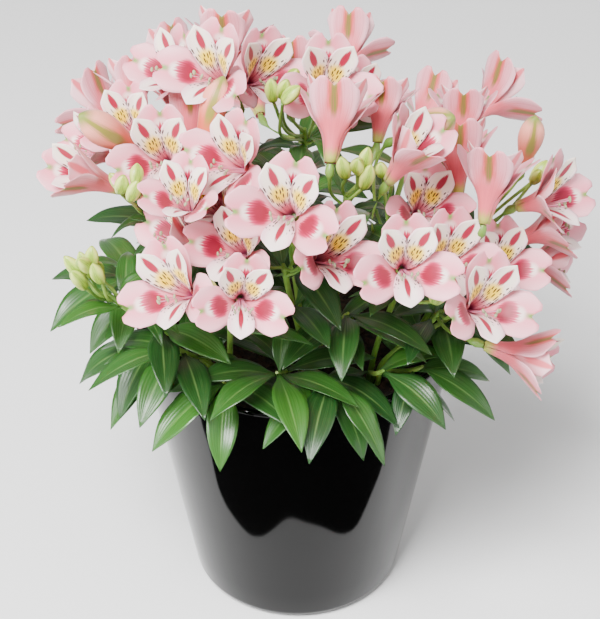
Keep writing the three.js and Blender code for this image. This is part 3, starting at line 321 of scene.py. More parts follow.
def inner_back(petal):
    """Salmon pink that pales outwards, with a rose middle and a green foot."""
    comb = petal.ragged(0.3)
    return petal.coats(
        "#EC8A90",
        ("#F4C3CA", petal.mask((comb, 0.3, 0.7))),
        ("#DE6E78", petal.mask((petal.aside, 0.4, 0.15), (comb, 0.5, 0.62))),
        ("#A9B04A", petal.mask((comb, 0.2, 0.04))),
    )


def closed(petal):
    """The backs of three folded tepals: salmon with olive stripes, green at the foot and the tip."""
    comb = petal.ragged(0.3)
    width = petal.calc("ADD", petal.aside, petal.calc("MULTIPLY", petal.streaks(24.0, 3.0), 0.6))
    return petal.coats(
        "#DB6048",
        ("#EC9C88", petal.mask((comb, 0.35, 0.9))),
        ("#8C8433", petal.mask((width, 0.75, 0.45), (petal.along, 0.25, 0.5))),
        ("#A9B04A", petal.mask((comb, 0.22, 0.05))),
        ("#7D8A35", petal.mask((petal.along, 0.86, 0.98))),
    )


petal_materials = {draw.__name__: petal_finish(draw)
                   for draw in (outer_face, outer_back, inner_face, inner_back, lip_face, closed)}
anther = Finish("pollen_anther", Roughness=0.8)
petal_materials["anther"] = anther.done(anther.coats("#8C8A4E", ("#A5A894", anther.noise(1200.0))))
filament_finish = Finish("living_filament", Roughness=0.45, Subsurface_Weight=0.2,
                         Subsurface_Scale=0.001, Base_Color="#D98AA6").material
print("petal finishes:", len(petal_materials) + 1)

# %% [markdown]
# ## Where each flower stands
# Each flower is listed by where it is seen: across and up from the aim of the eye, how deep it lies in
# the round canopy, the way it faces, its lean, how far it has opened and its size. A flower that would
# have met its neighbour was moved along the line of sight or turned, in steps.

# %% Flower table
CANOPY_CENTRE = np.array([2, 6, 214])
CANOPY_RADIUS = 134
CANOPY_RISE = 110
TUBE = 13
THROAT = 8.5
CLOSED_LENGTH = 43
DEPTHS = [0, 5, -5, 10, -10, 15, 20, 26, -15, 32, 40, 50]
TURNS = [0, 14, -14, 30, -30]
MATCH = 0.02

BLOOMS = [
    ("front", -4, 49, 6, -12, 38, 8, 1, 1.05),
    ("front_low", 14, 26, 4, 38, 36, 20, 1, 1),
    ("low_left", -58, 8, 9, -36, 36, -26, 1, 1),
    ("right_low", 92, 1, 4, 30, 38, 16, 1, 1),
    ("left_mid", -30, 73, 10, -35, 38, 12, 1, 1),
    ("top_left", -41, 118, 6, -30, 42, 5, 1, 1),
    ("left_upper", -67, 76, 6, -8, 38, -5, 1, 1),
    ("right_mid", 55, 21, 10, 5, 36, 0, 1, 1),
    ("low_mid", -29, 29, 10, -25, 40, 12, 0.95, 0.95),
    ("low_centre", -28, 5, 0, 6, 30, 8, 1, 0.9),
    ("back_trumpet", 19, 90, 12, 170, 50, 0, 0.65, 1.05),
    ("right_trumpet", 98, 58, 10, 160, 58, 0, 0.65, 1),
    ("right_heart", 75, 24, 14, 25, 38, 8, 1, 1),
    ("top_mid", 14, 112, 6, 12, 38, 6, 1, 1),
    ("right_spot", 101, 21, 5, 20, 42, 4, 1, 0.95),
    ("right_far", 124, 55, 4, 62, 30, 10, 0.9, 0.95),
    ("far_right", 123, 39, 12, 80, 30, 10, 0.8, 0.95),
    ("top_right", -21, 117, 24, 35, 38, 10, 0.85, 1),
    ("far_left", -60, 117, 12, -55, 50, 0, 0.85, 0.95),
    ("left_heart", -84, 91, 10, -20, 42, -6, 1, 0.9),
    ("upper_trumpet", 82, 72, 4, 180, 50, 0, 0.65, 1),
    ("right_upper", 54, 75, 4, 68, 62, 0, 0.45, 1),
    ("right_inner", 63, 50, 14, 20, 44, 8, 0.9, 0.95),
    ("left_side", -56, 33, 8, -75, 38, 0, 0.85, 0.95),
    ("left_trumpet", -40, 50, 24, -30, 52, 0, 0.6, 0.9),
    ("left_salmon", -54, 92, 14, 180, 50, 0, 0.5, 0.9),
    ("left_half", -102, 66, 6, -63, 37, 0, 0.35, 1),
    ("left_behind", -98, 80, 18, -70, 30, 0, 0.8, 0.9),
    ("top_trumpet", -3, 116, 18, 175, 55, 0, 0.55, 0.95),
    ("top_behind", -37, 128, 12, 170, 50, 0, 0.8, 1),
    ("left_back", -62, 107, 14, -160, 45, 0, 0.8, 0.95),
    ("left_rear", -82, 107, 22, -150, 45, 0, 0.7, 0.9),
    ("leaf_side", 29, 106, 24, 30, 40, 0, 0.9, 0.85),
    ("mid_behind", 43, 97, 30, 165, 50, 0, 0.6, 0.85),
    ("right_behind", 84, 92, 54, 175, 60, 0, 0.6, 0.9),
    ("left_high", -56, 53, 16, -20, 60, 0, 0.8, 0.85),
    ("far_right_low", 122, 24, 30, 82, 10, 0, 0.8, 0.9),
    ("right_lowest", 109, -22, 6, 70, -5, 0, 0.6, 0.95),
]
CLOSED = [
    ("closed_left", -89, 86, 6, -54, 45, 1),
    ("closed_left_small", -72, 58, 6, -10, 20, 0.62),
    ("closed_left_upper", -46, 92, 12, 140, 60, 0.85),
    ("closed_right_upper", 59, 90, 10, 50, 37, 0.95),
    ("closed_right_top", 117, 80, 8, 20, 75, 0.8),
]
REAR_BLOOMS = [
    ("rear_1", -122, 26, 1), ("rear_2", -146, 34, 0.95), ("rear_3", -168, 4, 1),
    ("rear_4", 168, 30, 1), ("rear_5", 146, 2, 1), ("rear_6", 124, 30, 1),
]
REAR_OPEN = 0.95
REAR_REACH = 0.88
UP = np.array([0.0, 0.0, 1.0])


def compass(azimuth, elevation):
    turn, rise = math.radians(azimuth), math.radians(elevation)
    return np.array([math.sin(turn) * math.cos(rise), -math.cos(turn) * math.cos(rise), math.sin(rise)])


def on_canopy(across, up, depth):
    """The point of the canopy that is seen there, moved on along the sight by a depth."""
    ray = SIGHT * EYE_DISTANCE + SIGHT_UP * up + np.array([across, 0, 0])
    ray = ray / np.linalg.norm(ray)
    squeeze = np.array([1 / CANOPY_RADIUS, 1 / CANOPY_RADIUS, 1 / CANOPY_RISE])
    start, way = (EYE - CANOPY_CENTRE) * squeeze, ray * squeeze
    a, b, c = way @ way, start @ way, start @ start - 1
    return EYE + ray * ((-b - math.sqrt(max(b * b - a * c, 0))) / a + depth)


def rear_place(azimuth, height):
    """The point of the canopy at an azimuth and a height, for a flower at the back."""
    rise = (height - 10) / CANOPY_RISE
    radius = CANOPY_RADIUS * math.sqrt(1 - min(rise * rise, 0.9)) * REAR_REACH
    return CANOPY_CENTRE + UP * height + compass(azimuth, 0) * radius


def axes_of(azimuth, elevation, lean):
    """A flower's right, top and axis."""
    axis = compass(azimuth, elevation)
    top = UP - axis * axis[2]
    top = top / np.linalg.norm(top)
    turn = -math.radians(lean)
    top = top * math.cos(turn) + np.cross(axis, top) * math.sin(turn)
    return np.stack([np.cross(top, axis), top, axis])


flowers = [dict(name=n, seen=(x, y, d), azimuth=a, elevation=e, lean=t, open=o, size=s, closed=False)
           for n, x, y, d, a, e, t, o, s in BLOOMS]
flowers += [dict(name=n, seen=(x, y, d), azimuth=a, elevation=e, lean=0, open=0, size=s, closed=True)
            for n, x, y, d, a, e, s in CLOSED]
flowers += [dict(name=n, rear=rear_place(a, h), azimuth=a, elevation=10 + h / 3, lean=0,
                 open=REAR_OPEN, size=s, closed=False) for n, a, h, s in REAR_BLOOMS]
print("flowers:", len(flowers))

# %% [markdown]
# ## The form of a tepal
# A tepal leaves the funnel steeply, bends evenly outwards, and runs on straight. Its foot and its blade
# may stand at different places round the flower: the two inner tepals lean together at the top. All
# lengths are in millimetres and all turns in degrees, for a flower of size 1.

# %% Tepal forms
TEPALS = [
    dict(foot=0, blade=0, lean=54, length=38, half=11, kind="outer"),
    dict(foot=60, blade=32, lean=42, length=39, half=6.2, kind="inner"),
    dict(foot=120, blade=106, lean=56, length=38, half=11, kind="outer"),
    dict(foot=180, blade=180, lean=46, length=34, half=6.4, kind="lip"),
    dict(foot=-120, blade=-106, lean=56, length=38, half=11, kind="outer"),
    dict(foot=-60, blade=-32, lean=42, length=39, half=6.2, kind="inner"),
]
TUBE_LEAN = 10
CLOSED_LEAN = 2
BEND_START = 7.5
BEND_END = 25
SWING_START = 0.5
SWING_SHARE = 0.6
NOTCH = 0.11
OUTSET = {"outer": 2.6, "inner": 1.2, "lip": 1.2}


def smooth(x, low=0.0, high=1.0):
    x = np.clip((np.asarray(x, float) - low) / (high - low), 0, 1)
    return x * x * (3 - 2 * x)


def tepal_path(distance, lean):
    """Radius, height and slope at a distance along a tepal: straight, evenly bent, straight again."""
    first, last = math.radians(TUBE_LEAN), math.radians(lean)
    rate = (last - first) / (BEND_END - BEND_START)
    straight = np.minimum(distance, BEND_START)
    slope = first + rate * np.clip(distance - BEND_START, 0, BEND_END - BEND_START)
    beyond = np.maximum(distance - BEND_END, 0)
    radius = (straight * math.sin(first) + (math.cos(first) - np.cos(slope)) / rate
              + beyond * np.sin(slope))
    height = (straight * math.cos(first) + (np.sin(slope) - math.sin(first)) / rate
              + beyond * np.cos(slope))
    return radius, height, slope


def tepal_frame(tepal, opened, size, share):
    """The middle line of a tepal in its flower's axes, with the ways across it and up from its face."""
    lean = CLOSED_LEAN + (tepal["lean"] - CLOSED_LEAN) * opened
    radius, height, slope = tepal_path(tepal["length"] * share, lean)
    settle = np.minimum(share / SWING_SHARE, 1) * smooth(opened, SWING_START, 1)
    turn = np.radians(tepal["foot"] + (tepal["blade"] - tepal["foot"]) * settle)
    reach = (radius + OUTSET[tepal["kind"]]) * size
    sin, cos = np.sin(turn), np.cos(turn)
    middle = np.stack([sin * reach, cos * reach, height * size], -1)
    side = np.stack([cos, -sin, 0 * cos], -1)
    face = np.stack([-sin * np.cos(slope), -cos * np.cos(slope), np.sin(slope)], -1)
    return middle, side, face, reach


print("tepals in a flower:", len(TEPALS))

# %% [markdown]
# ## Finding each flower
# Every flower is tried at each place and turn that it may have been given. The right one puts its foot,
# its throat and the tips of its inner tepals on corners of the solid. Those corners also tell which node
# holds the flower.

# %% Finding each flower
def candidates(flower):
    """Every place and turn the flower may have been given, the plain one first."""
    for turn in TURNS:
        for depth in DEPTHS:
            if "rear" in flower:
                place = flower["rear"] - compass(flower["azimuth"], 0) * depth
            else:
                across, up, deep = flower["seen"]
                place = on_canopy(across, up, deep + depth)
            axes = axes_of(flower["azimuth"] + turn, flower["elevation"], flower["lean"])
            yield place - axes[2] * TUBE * flower["size"], axes


def marks(flower):
    """Points of a flower, in its own axes, that are corners of its solid."""
    size = flower["size"]
    if flower["closed"]:
        return [np.zeros(3), UP * CLOSED_LENGTH * size]
    found = [np.zeros(3), UP * THROAT * size]
    for tepal in TEPALS:
        if tepal["kind"] != "outer":
            found.append(tepal_frame(tepal, flower["open"], size, np.array([1.0]))[0][0])
    return found


petal_nodes = [n for n in frame["nodes"] if n.startswith(("bloom_", "closed_"))]
corners = [(v.co / MM, name) for name in petal_nodes for v in frame["nodes"][name].data.vertices]
tree_of_corners = KDTree(len(corners))
for i, (place, _) in enumerate(corners):
    tree_of_corners.insert(place, i)
tree_of_corners.balance()


def settle_flower(flower):
    """Finds which candidate the solid was made with, and the node that holds it."""
    points = marks(flower)
    best = (-1, None)
    for place, axes in candidates(flower):
        hits = [tree_of_corners.find(Vector(place + p @ axes)) for p in points]
        near = [index for _, index, gap in hits if gap < MATCH]
        if len(near) > best[0]:
            best = (len(near), (place, axes, corners[near[0]][1] if near else None))
        if len(near) == len(points):
            break
    flower["place"], flower["axes"], flower["node"] = best[1]
    return best[0], len(points)


for flower in flowers:
    found, wanted = settle_flower(flower)
    if found < wanted:
        print("only", found, "of", wanted, "marks found for", flower["name"], flower["node"])
print("flowers settled:", sum(f["node"] is not None for f in flowers))

# %% [markdown]
# ## Building petals
# A blade is a grid: rows along it and columns across. Every blade is a closed shell with a face and a
# back, so that the two sides take finishes of their own. Closed flowers, buds, anthers, the pot and the
# soil are rings of points instead, closed at both ends.

# %% Mesh helpers
class Cloth:
    """Collects the points, faces, finishes and blade places of one piece, in millimetres."""

    def __init__(self):
        self.points, self.faces, self.finishes, self.places, self.count = [], [], [], [], 0

    def add(self, points, faces, finishes, places=None):
        self.points.append(points)
        self.faces += [tuple(i + self.count for i in face) for face in faces]
        self.finishes += finishes
        self.places.append(np.zeros((len(points), 2)) if places is None else places)
        self.count += len(points)

    def add_blade(self, blade, points, places, face, back):
        face_side, back_side, rim = blade
        finishes = [face] * len(face_side) + [back] * len(back_side) + [face] * len(rim)
        self.add(points, face_side + back_side + rim, finishes, places)

    def build(self, name, materials):
        mesh = bpy.data.meshes.new(name)
        mesh.from_pydata((np.concatenate(self.points) * MM).tolist(), [], self.faces)
        order = list(materials)
        mesh.polygons.foreach_set("material_index", [order.index(f) for f in self.finishes])
        mesh.polygons.foreach_set("use_smooth", [True] * len(self.faces))
        for key in order:
            mesh.materials.append(materials[key])
        places = np.concatenate(self.places)
        loops = np.zeros(len(mesh.loops), int)
        mesh.loops.foreach_get("vertex_index", loops)
        mesh.uv_layers.new(name="UVMap").data.foreach_set("uv", places[loops].ravel())
        shell = bmesh.new()
        shell.from_mesh(mesh)
        bmesh.ops.recalc_face_normals(shell, faces=shell.faces)
        shell.to_mesh(mesh)
        shell.free()
        return new_object(name, mesh)


def blade_faces(rows, columns):
    """Faces of a closed blade: the face side, then the back, then the rim between them."""
    back = rows * columns
    face_side = [(r * columns + c, (r + 1) * columns + c, (r + 1) * columns + c + 1, r * columns + c + 1)
                 for r in range(rows - 1) for c in range(columns - 1)]
    back_side = [tuple(i + back for i in reversed(f)) for f in face_side]
    edge = list(range(columns)) + [r * columns + columns - 1 for r in range(1, rows)]
    edge += [(rows - 1) * columns + c for c in range(columns - 2, -1, -1)]
    edge += [r * columns for r in range(rows - 2, 0, -1)]
    rim = [(a, b, b + back, a + back) for a, b in zip(edge, edge[1:] + edge[:1])]
    return face_side, back_side, rim


def two_sides(points, offset, share, across):
    """The points of a blade's face and back, and their places along and across it."""
    shell = np.concatenate([(points + offset).reshape(-1, 3), (points - offset).reshape(-1, 3)])
    places = np.stack(np.broadcast_arrays(share, across / 2 + 0.5), -1).reshape(-1, 2)
    return shell, np.concatenate([places, places])


def ring_faces(rings, sides):
    """Faces of a body made of rings of points. The two points that close its ends come before them."""
    faces, last = [], 2 + (rings - 1) * sides
    for i in range(sides):
        j = (i + 1) % sides
        faces.append((0, 2 + i, 2 + j))
        faces += [(low + i, low + sides + i, low + sides + j, low + j) for low in range(2, last, sides)]
        faces.append((1, last + j, last + i))
    return faces


def through(shares, values, x, level=True):
    """A smooth line through a few points, level where they turn back unless told otherwise."""
    shares, values = np.array(shares, float), np.array(values, float)
    slopes = np.gradient(values, shares)
    if level:
        rising = np.diff(values)
        slopes[1:-1][rising[:-1] * rising[1:] <= 0] = 0
    i = np.clip(np.searchsorted(shares, x) - 1, 0, len(shares) - 2)
    gap = shares[i + 1] - shares[i]
    t = (x - shares[i]) / gap
    return ((2 * t**3 - 3 * t**2 + 1) * values[i] + (t**3 - 2 * t**2 + t) * gap * slopes[i]
            + (3 * t**2 - 2 * t**3) * values[i + 1] + (t**3 - t**2) * gap * slopes[i + 1])


def curve_through(shares, stops, x):
    """A smooth curve in space through a few stops."""
    return np.stack([through(shares, stops[:, k], x, level=False) for k in range(3)], -1)


print("mesh helpers ready")

# %% [markdown]
# ## One tepal
# The outline comes from how wide the blade is along its length and where each column ends, which makes
# the pointed tips and the notched ones. Near the foot a tepal curls round the flower's axis, so that six
# of them make a funnel, and further out it opens into a shallow bowl with a wave in its margin.

# %% One tepal
TEPAL_ROWS, TEPAL_COLUMNS = 22, 13
TEPAL_THICKNESS = 0.5
TEPAL_FACES = blade_faces(TEPAL_ROWS, TEPAL_COLUMNS)
WIDTHS = {
    "outer": ([0, 0.2, 0.4, 0.58, 0.75, 0.9, 1.0], [0.24, 0.36, 0.6, 0.88, 1.0, 0.95, 0.8]),
    "inner": ([0, 0.25, 0.5, 0.74, 0.88, 1.0], [0.24, 0.4, 0.78, 1.08, 0.92, 0.4]),
    "lip": ([0, 0.25, 0.5, 0.74, 0.9, 1.0], [0.24, 0.4, 0.8, 1.05, 0.9, 0.45]),
}
CUPS = {"outer": 0.3, "inner": 0.5, "lip": 0.4}


def column_ends(kind, across):
    """How far along the blade each column ends."""
    bare = np.abs(across)
    if kind == "outer":
        return 1 - NOTCH * (1 - smooth(bare, 0, 0.42)) - 0.17 * smooth(bare, 0.62, 1.05) ** 1.2
    return 1 - 0.13 * bare ** 1.6


def add_tepal(cloth, flower, tepal, chance):
    kind, size = tepal["kind"], flower["size"]
    across = np.linspace(-1, 1, TEPAL_COLUMNS)
    across = np.sign(across) * np.abs(across) ** 0.9
    rows = np.linspace(0, 1, TEPAL_ROWS) ** 0.92
    wide = np.broadcast_to(across, (TEPAL_ROWS, TEPAL_COLUMNS))
    share = rows[:, None] * column_ends(kind, across)[None, :]
    middle, side, face, reach = tepal_frame(tepal, flower["open"], size, share)
    half = tepal["half"] * size * through(*WIDTHS[kind], share)
    opening = smooth(share, 0.2, 0.55)
    curl = (1 - opening) / reach + opening * CUPS[kind] / (tepal["half"] * size)
    sideways = np.sin(curl * half * wide) / curl
    lift = (1 - np.cos(curl * half * wide)) / curl
    phase, swing = chance.uniform(0, 6.3), chance.uniform(0.2, 0.6)
    lift = lift + swing * opening * wide**2 * np.sin(phase + share * 9 + wide * 2.2)
    falling = smooth(share, 0.7, 1.0) * chance.uniform(0.2, 1.6)
    lift = lift - falling * (0.4 + 0.6 * wide**2)
    points = middle + side * sideways[..., None] + face * lift[..., None]
    thin = TEPAL_THICKNESS / 2 * np.clip(1.05 - wide**4, 0.15, 1) * np.clip(1.05 - share**8, 0.15, 1)
    shell, places = two_sides(points, face * thin[..., None], share, wide)
    cloth.add_blade(TEPAL_FACES, flower["place"] + shell @ flower["axes"], places, kind + "_face",
                    "outer_back" if kind == "outer" else "inner_back")


print("a tepal has", sum(len(faces) for faces in TEPAL_FACES), "faces")

# %% [markdown]
# ## Spindles
# Buds, closed flowers and anthers are spindles: rings whose radius swells and shrinks between two points,
# with lobes round them.

# %% Spindles
def swelling(profile, size):
    """The radius along a spindle, by shares of its length and radii."""
    return lambda share: size * float(through(*profile, np.array(share)))


def add_spindle(cloth, start, end, radius_at, lobes, depth, finish, sides, rings, spots=3):
    """A body between two points, with lobes round it, and its blade places repeated round it."""
    along = (end - start) / np.linalg.norm(end - start)
    helper = UP if abs(along[2]) < 0.9 else np.array([1.0, 0, 0])
    right = np.cross(along, helper)
    right = right / np.linalg.norm(right)
    other = np.cross(along, right)
    points, places = [start, end], [(0, 0.5), (1, 0.5)]
    for ring in range(rings):
        share = (ring + 0.5) / rings
        radius = radius_at(share)
        for i in range(sides):
            turn = i / sides * math.tau
            reach = radius * (1 + depth * math.cos(lobes * turn))
            points.append(start + (end - start) * share
                          + (right * math.cos(turn) + other * math.sin(turn)) * reach)
            places.append((share, 0.5 + abs((i / sides * spots) % 1 - 0.5)))
    faces = ring_faces(rings, sides)
    cloth.add(np.array(points), faces, [finish] * len(faces), np.array(places))


print("ten rings of eighteen points make", len(ring_faces(10, 18)), "faces")

# %% [markdown]
# ## Tubes
# Filaments, stalks and stems are paths with a thickness at each point. One node tree turns such paths
# into tubes. It reads the thickness from an attribute, sweeps a circle along each path, closes the ends,
# and lays the finish on.

# %% Tubes
def new_tree(name, **inputs):
    """A Geometry Nodes tree with a geometry input and output, and more inputs by name and type."""
    tree = bpy.data.node_groups.new(name, "GeometryNodeTree")
    for key, kind in {"Geometry": "Geometry", **inputs}.items():
        tree.interface.new_socket(key.replace("_", " "), in_out="INPUT", socket_type="NodeSocket" + kind)
    tree.interface.new_socket("Geometry", in_out="OUTPUT", socket_type="NodeSocketGeometry")
    return tree, add(tree, "NodeGroupInput").outputs


def close_tree(tree, geometry, finish):
    """Makes instances real, lays the finish on and hands the result out."""
    real = add(tree, "GeometryNodeRealizeInstances", {"Geometry": geometry})
    dressed = add(tree, "GeometryNodeSetMaterial", {"Geometry": real.outputs[0], "Material": finish})
    add(tree, "NodeGroupOutput", {0: dressed.outputs[0]})
    return tree


def tube_tree():
    tree, given = new_tree("tubes_along_paths", Sides="Int", Finish="Material")
    paths = add(tree, "GeometryNodeMeshToCurve", {"Mesh": given["Geometry"]})
    width = add(tree, "GeometryNodeInputNamedAttribute", {"Name": "thickness"}, data_type="FLOAT")
    sized = add(tree, "GeometryNodeSetCurveRadius", {
        "Curve": paths.outputs[0], "Radius": width.outputs["Attribute"]})
    circle = add(tree, "GeometryNodeCurvePrimitiveCircle", {"Resolution": given["Sides"], "Radius": 1.0})
    swept = add(tree, "GeometryNodeCurveToMesh", {
        "Curve": sized.outputs[0], "Profile Curve": circle.outputs[0], "Fill Caps": True,
        "Scale": add(tree, "GeometryNodeInputRadius").outputs[0]})
    rounded = add(tree, "GeometryNodeSetShadeSmooth", {"Geometry": swept.outputs[0]})
    return close_tree(tree, rounded.outputs[0], given["Finish"])


def grown_by(tree, mesh, name, **values):
    """Runs a node tree on a mesh and keeps what it makes as a plain object."""
    source = new_object(name + "_source", mesh)
    modifier = source.modifiers.new("nodes", "NODES")
    modifier.node_group = tree
    sockets = {s.name: s.identifier for s in tree.interface.items_tree if s.in_out == "INPUT"}
    for key, value in values.items():
        modifier[sockets[key.replace("_", " ")]] = value
    graph = bpy.context.evaluated_depsgraph_get()
    made = new_object(name, bpy.data.meshes.new_from_object(source.evaluated_get(graph)))
    bpy.data.objects.remove(source)
    return made


TUBES = tube_tree()


def tubes(name, paths, sides, material):
    """Paths are lists of points in millimetres, each with a list of radii."""
    points, edges, widths = [], [], []
    for path, radii in paths:
        first = len(points)
        points += [tuple(p * MM) for p in path]
        widths += [r * MM for r in radii]
        edges += [(i, i + 1) for i in range(first, len(points) - 1)]
    mesh = bpy.data.meshes.new(name + "_paths")
    mesh.from_pydata(points, edges, [])
    mesh.attributes.new("thickness", "FLOAT", "POINT").data.foreach_set("value", widths)
    return grown_by(TUBES, mesh, name, Sides=sides, Finish=material)


def joined(name, pieces):
    """Joins several objects into the first of them."""
    if len(pieces) > 1:
        with bpy.context.temp_override(active_object=pieces[0], selected_editable_objects=pieces):
            bpy.ops.object.join()
    pieces[0].name = name
    pieces[0].data.name = name
    return pieces[0]


def lengths_along(stops):
    return np.concatenate([[0], np.cumsum(np.linalg.norm(np.diff(stops, axis=0), axis=1))])


def bent_path(stops, radii, step):
    """A smooth path through a few stops, with a point every step millimetres."""
    stops = np.array(stops)
    way = lengths_along(stops)
    at = np.linspace(0, way[-1], max(int(way[-1] / step), 4) + 1)
    return curve_through(way, stops, at), through(way, radii, at)


print("tube tree nodes:", len(TUBES.nodes))

# %% [markdown]
# ## Dressing the flowers
# Each node of the frame that holds flowers gets one piece. A closed flower is a spindle with three lobes.
# An open one has its six tepals and, once it is wide open, six stamens: thin filaments that curve out over
# the lip, each with an anther that lies across its end.

# %% Flowers
FILAMENT_RADIUS = 0.32
STAMENS = [(-4.4, -2.6, 27), (-3.4, -4.6, 29.5), (-1.6, -3.4, 24), (4.3, -2.8, 28), (3.2, -4.4, 25.5),
           (1.4, -3.0, 30)]
STAMENS_SHOW = 0.8
ANTHER_HALF = 1.3
ANTHER_RADIUS = 0.75
CLOSED_PROFILE = ([0, 0.3, 0.65, 0.86, 1.0], [2.3, 5.0, 7.5, 5.4, 0.6])


def dress_flower(cloth, flower, filaments):
    chance = random.Random(flower["name"])
    place, axes, size = flower["place"], flower["axes"], flower["size"]
    if flower["closed"]:
        add_spindle(cloth, place, place + axes[2] * CLOSED_LENGTH * size,
                    swelling(CLOSED_PROFILE, size), 3, 0.07, "closed", sides=24, rings=16)
        return
    for tepal in TEPALS:
        add_tepal(cloth, flower, tepal, chance)
    if flower["open"] < STAMENS_SHOW:
        return
    for x, y, z in STAMENS:
        tip = np.array([x + chance.uniform(-0.6, 0.6), y, z - 1.5]) * size
        stops = [np.array([x * 0.2, -0.4, 4]) * size, np.array([x * 0.55, -2.3, 15]) * size, tip]
        line, radii = bent_path(stops, [FILAMENT_RADIUS] * 3, 3)
        filaments.append((place + line @ axes, radii))
        lean = np.array([x * 0.12, 1.0, 0.5])
        reach = lean / np.linalg.norm(lean) * ANTHER_HALF * size
        add_spindle(cloth, place + (tip - reach) @ axes, place + (tip + reach) @ axes,
                    lambda share: ANTHER_RADIUS * size * math.sin(math.pi * share) ** 0.6,
                    2, 0.15, "anther", sides=8, rings=4)


for node in petal_nodes:
    cloth, filaments = Cloth(), []
    for flower in flowers:
        if flower["node"] == node:
            dress_flower(cloth, flower, filaments)
    pieces = [cloth.build("flower", petal_materials)]
    if filaments:
        pieces.append(tubes("filaments", filaments, 6, filament_finish))
    piece = joined("petals_" + node.removeprefix("bloom_"), pieces)
    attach(piece, "root")
    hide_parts(node)
print("flower pieces:", len(petal_nodes))

# %% [markdown]
# ## Reading the green parts
# Each clump is one solid: stems with leaves, stalks and buds growing from their sides. A leaf ends in a
# point that four long edges meet in, and below it lie two rings of four corners. A stalk ends in a small
# ring. So the solid is read back from its tips: this gives the middle line, the width and the tilt of
# every leaf, and a path with a thickness for every stem and stalk.

# %% Read the clumps
LEAF_TIP_EDGE = 5.5
STEM_TIP_GAPS = (0.5, 1.2)
BUD_GAP = 1.6
WIDEST_TIP = 4
STALK_RINGS = 4
SOIL_LEVEL = 149


def merged(node):
    """Corners and neighbours of a solid, whose triangles are loose."""
    mesh = frame["nodes"][node].data
    places = np.zeros(len(mesh.vertices) * 3)
    mesh.vertices.foreach_get("co", places)
    places, index = np.unique(np.round(places.reshape(-1, 3) / MM, 3), axis=0, return_inverse=True)
    index = index.ravel()
    near = [set() for _ in places]
    for polygon in mesh.polygons:
        ring = [index[v] for v in polygon.vertices]
        for a in ring:
            near[a].update(b for b in ring if b != a)
    return places, near


def read_leaf(places, near, tip):
    """The four corners at each of a leaf's two rings and the root, or nothing if this is no leaf."""
    far = list(near[tip])
    gaps = {(a, b): np.linalg.norm(places[a] - places[b]) for a in far for b in far if a < b}
    flat = min(gaps, key=gaps.get)
    left, right = [i for i in far if i not in flat]
    middle = (places[flat[0]] + places[flat[1]]) / 2
    rise = (places[left] + places[right]) / 2 - middle
    top, under = sorted(flat, key=lambda i: -(places[i] - middle) @ rise)
    along = places[tip] - middle
    if np.cross(along, places[right] - places[left]) @ rise < 0:
        left, right = right, left
    used = {tip, left, right, top, under}
    low_left, low_right = near[left] - used, near[right] - used
    if len(low_left) != 1 or len(low_right) != 1:
        return None
    used |= low_left | low_right
    low_top, low_under = near[top] - used, near[under] - used
    if len(low_top) != 1 or len(low_under) != 1:
        return None
    used |= low_top | low_under
    low = [s.pop() for s in (low_left, low_top, low_right, low_under)]
    root = set().union(*(near[i] for i in low)) - used
    if len(root) != 4:
        return None
    return dict(tip=tip, far=[left, top, right, under], low=low, root=sorted(root), used=used)


def read_stalk(near, tip):
    """The rings of a stalk from its tip down, and its root."""
    rings, seen = [near[tip]], {tip} | near[tip]
    while len(rings) <= STALK_RINGS:
        following = set().union(*(near[i] for i in rings[-1])) - seen
        if len(following) != 4:
            return None
        rings.append(following)
        seen |= following
    return dict(tip=tip, rings=rings[:-1], root=rings[-1], used=seen - rings[-1])


def read_clump(node):
    places, near = merged(node)
    leaves, stalks, tops = [], [], []
    for tip, around in enumerate(near):
        if len(around) != 4:
            continue
        if min(np.linalg.norm(places[i] - places[tip]) for i in around) > LEAF_TIP_EDGE:
            leaf = read_leaf(places, near, tip)
            if leaf:
                leaves.append(leaf)
            continue
        centre = np.mean([places[i] for i in around], axis=0)
        spread = max(np.linalg.norm(places[i] - centre) for i in around)
        gap = np.linalg.norm(centre - places[tip])
        if spread > WIDEST_TIP:
            continue
        if STEM_TIP_GAPS[0] < gap < STEM_TIP_GAPS[1]:
            tops.append(tip)
        elif gap <= STEM_TIP_GAPS[0] or gap > BUD_GAP:
            stalk = read_stalk(near, tip)
            if stalk:
                stalk["bud"] = gap > BUD_GAP
                stalks.append(stalk)
    grown = set().union(*(g["used"] for g in leaves + stalks))
    stems = []
    for top in tops:
        rings, seen = [near[top] - grown], {top} | near[top] | grown
        while True:
            following = set().union(*(near[i] for i in rings[-1])) - seen
            if len(following) != 4:
                break
            rings.append(following)
            seen |= following
        stems.append(dict(tip=top, rings=rings))
    return places, leaves, stalks, stems


def centre_of(places, ring):
    return np.mean([places[i] for i in ring], axis=0)


def radius_of(places, ring):
    centre = centre_of(places, ring)
    return float(np.mean([np.linalg.norm(places[i] - centre) for i in ring]))


clump_nodes = [n for n in frame["nodes"] if n.startswith("leafy_clump_")]
clumps = {node: read_clump(node) for node in clump_nodes}
for node, (places, leaves, stalks, stems) in clumps.items():
    lowest = [round(min(centre_of(places, r)[2] for r in s["rings"])) for s in stems]
    print(node, "leaves", len(leaves), "stalks", len(stalks), "stems", len(stems), "down to", lowest)

# %% [markdown]
# ## Green finishes
# The leaves are deep green and glossy, with veins that run along the blade and a pale midrib. Growth is
# never even, so a value kept with each leaf makes it lighter or darker. Stems are paler and patchy, and
# the buds are a yellow green with darker ribs.

# %% Green finishes
GREEN = {"Coat_Roughness": 0.25, "Subsurface_Weight": 0.08, "Subsurface_Scale": 0.0008, "IOR": 1.45}
RIDGES = 62.8


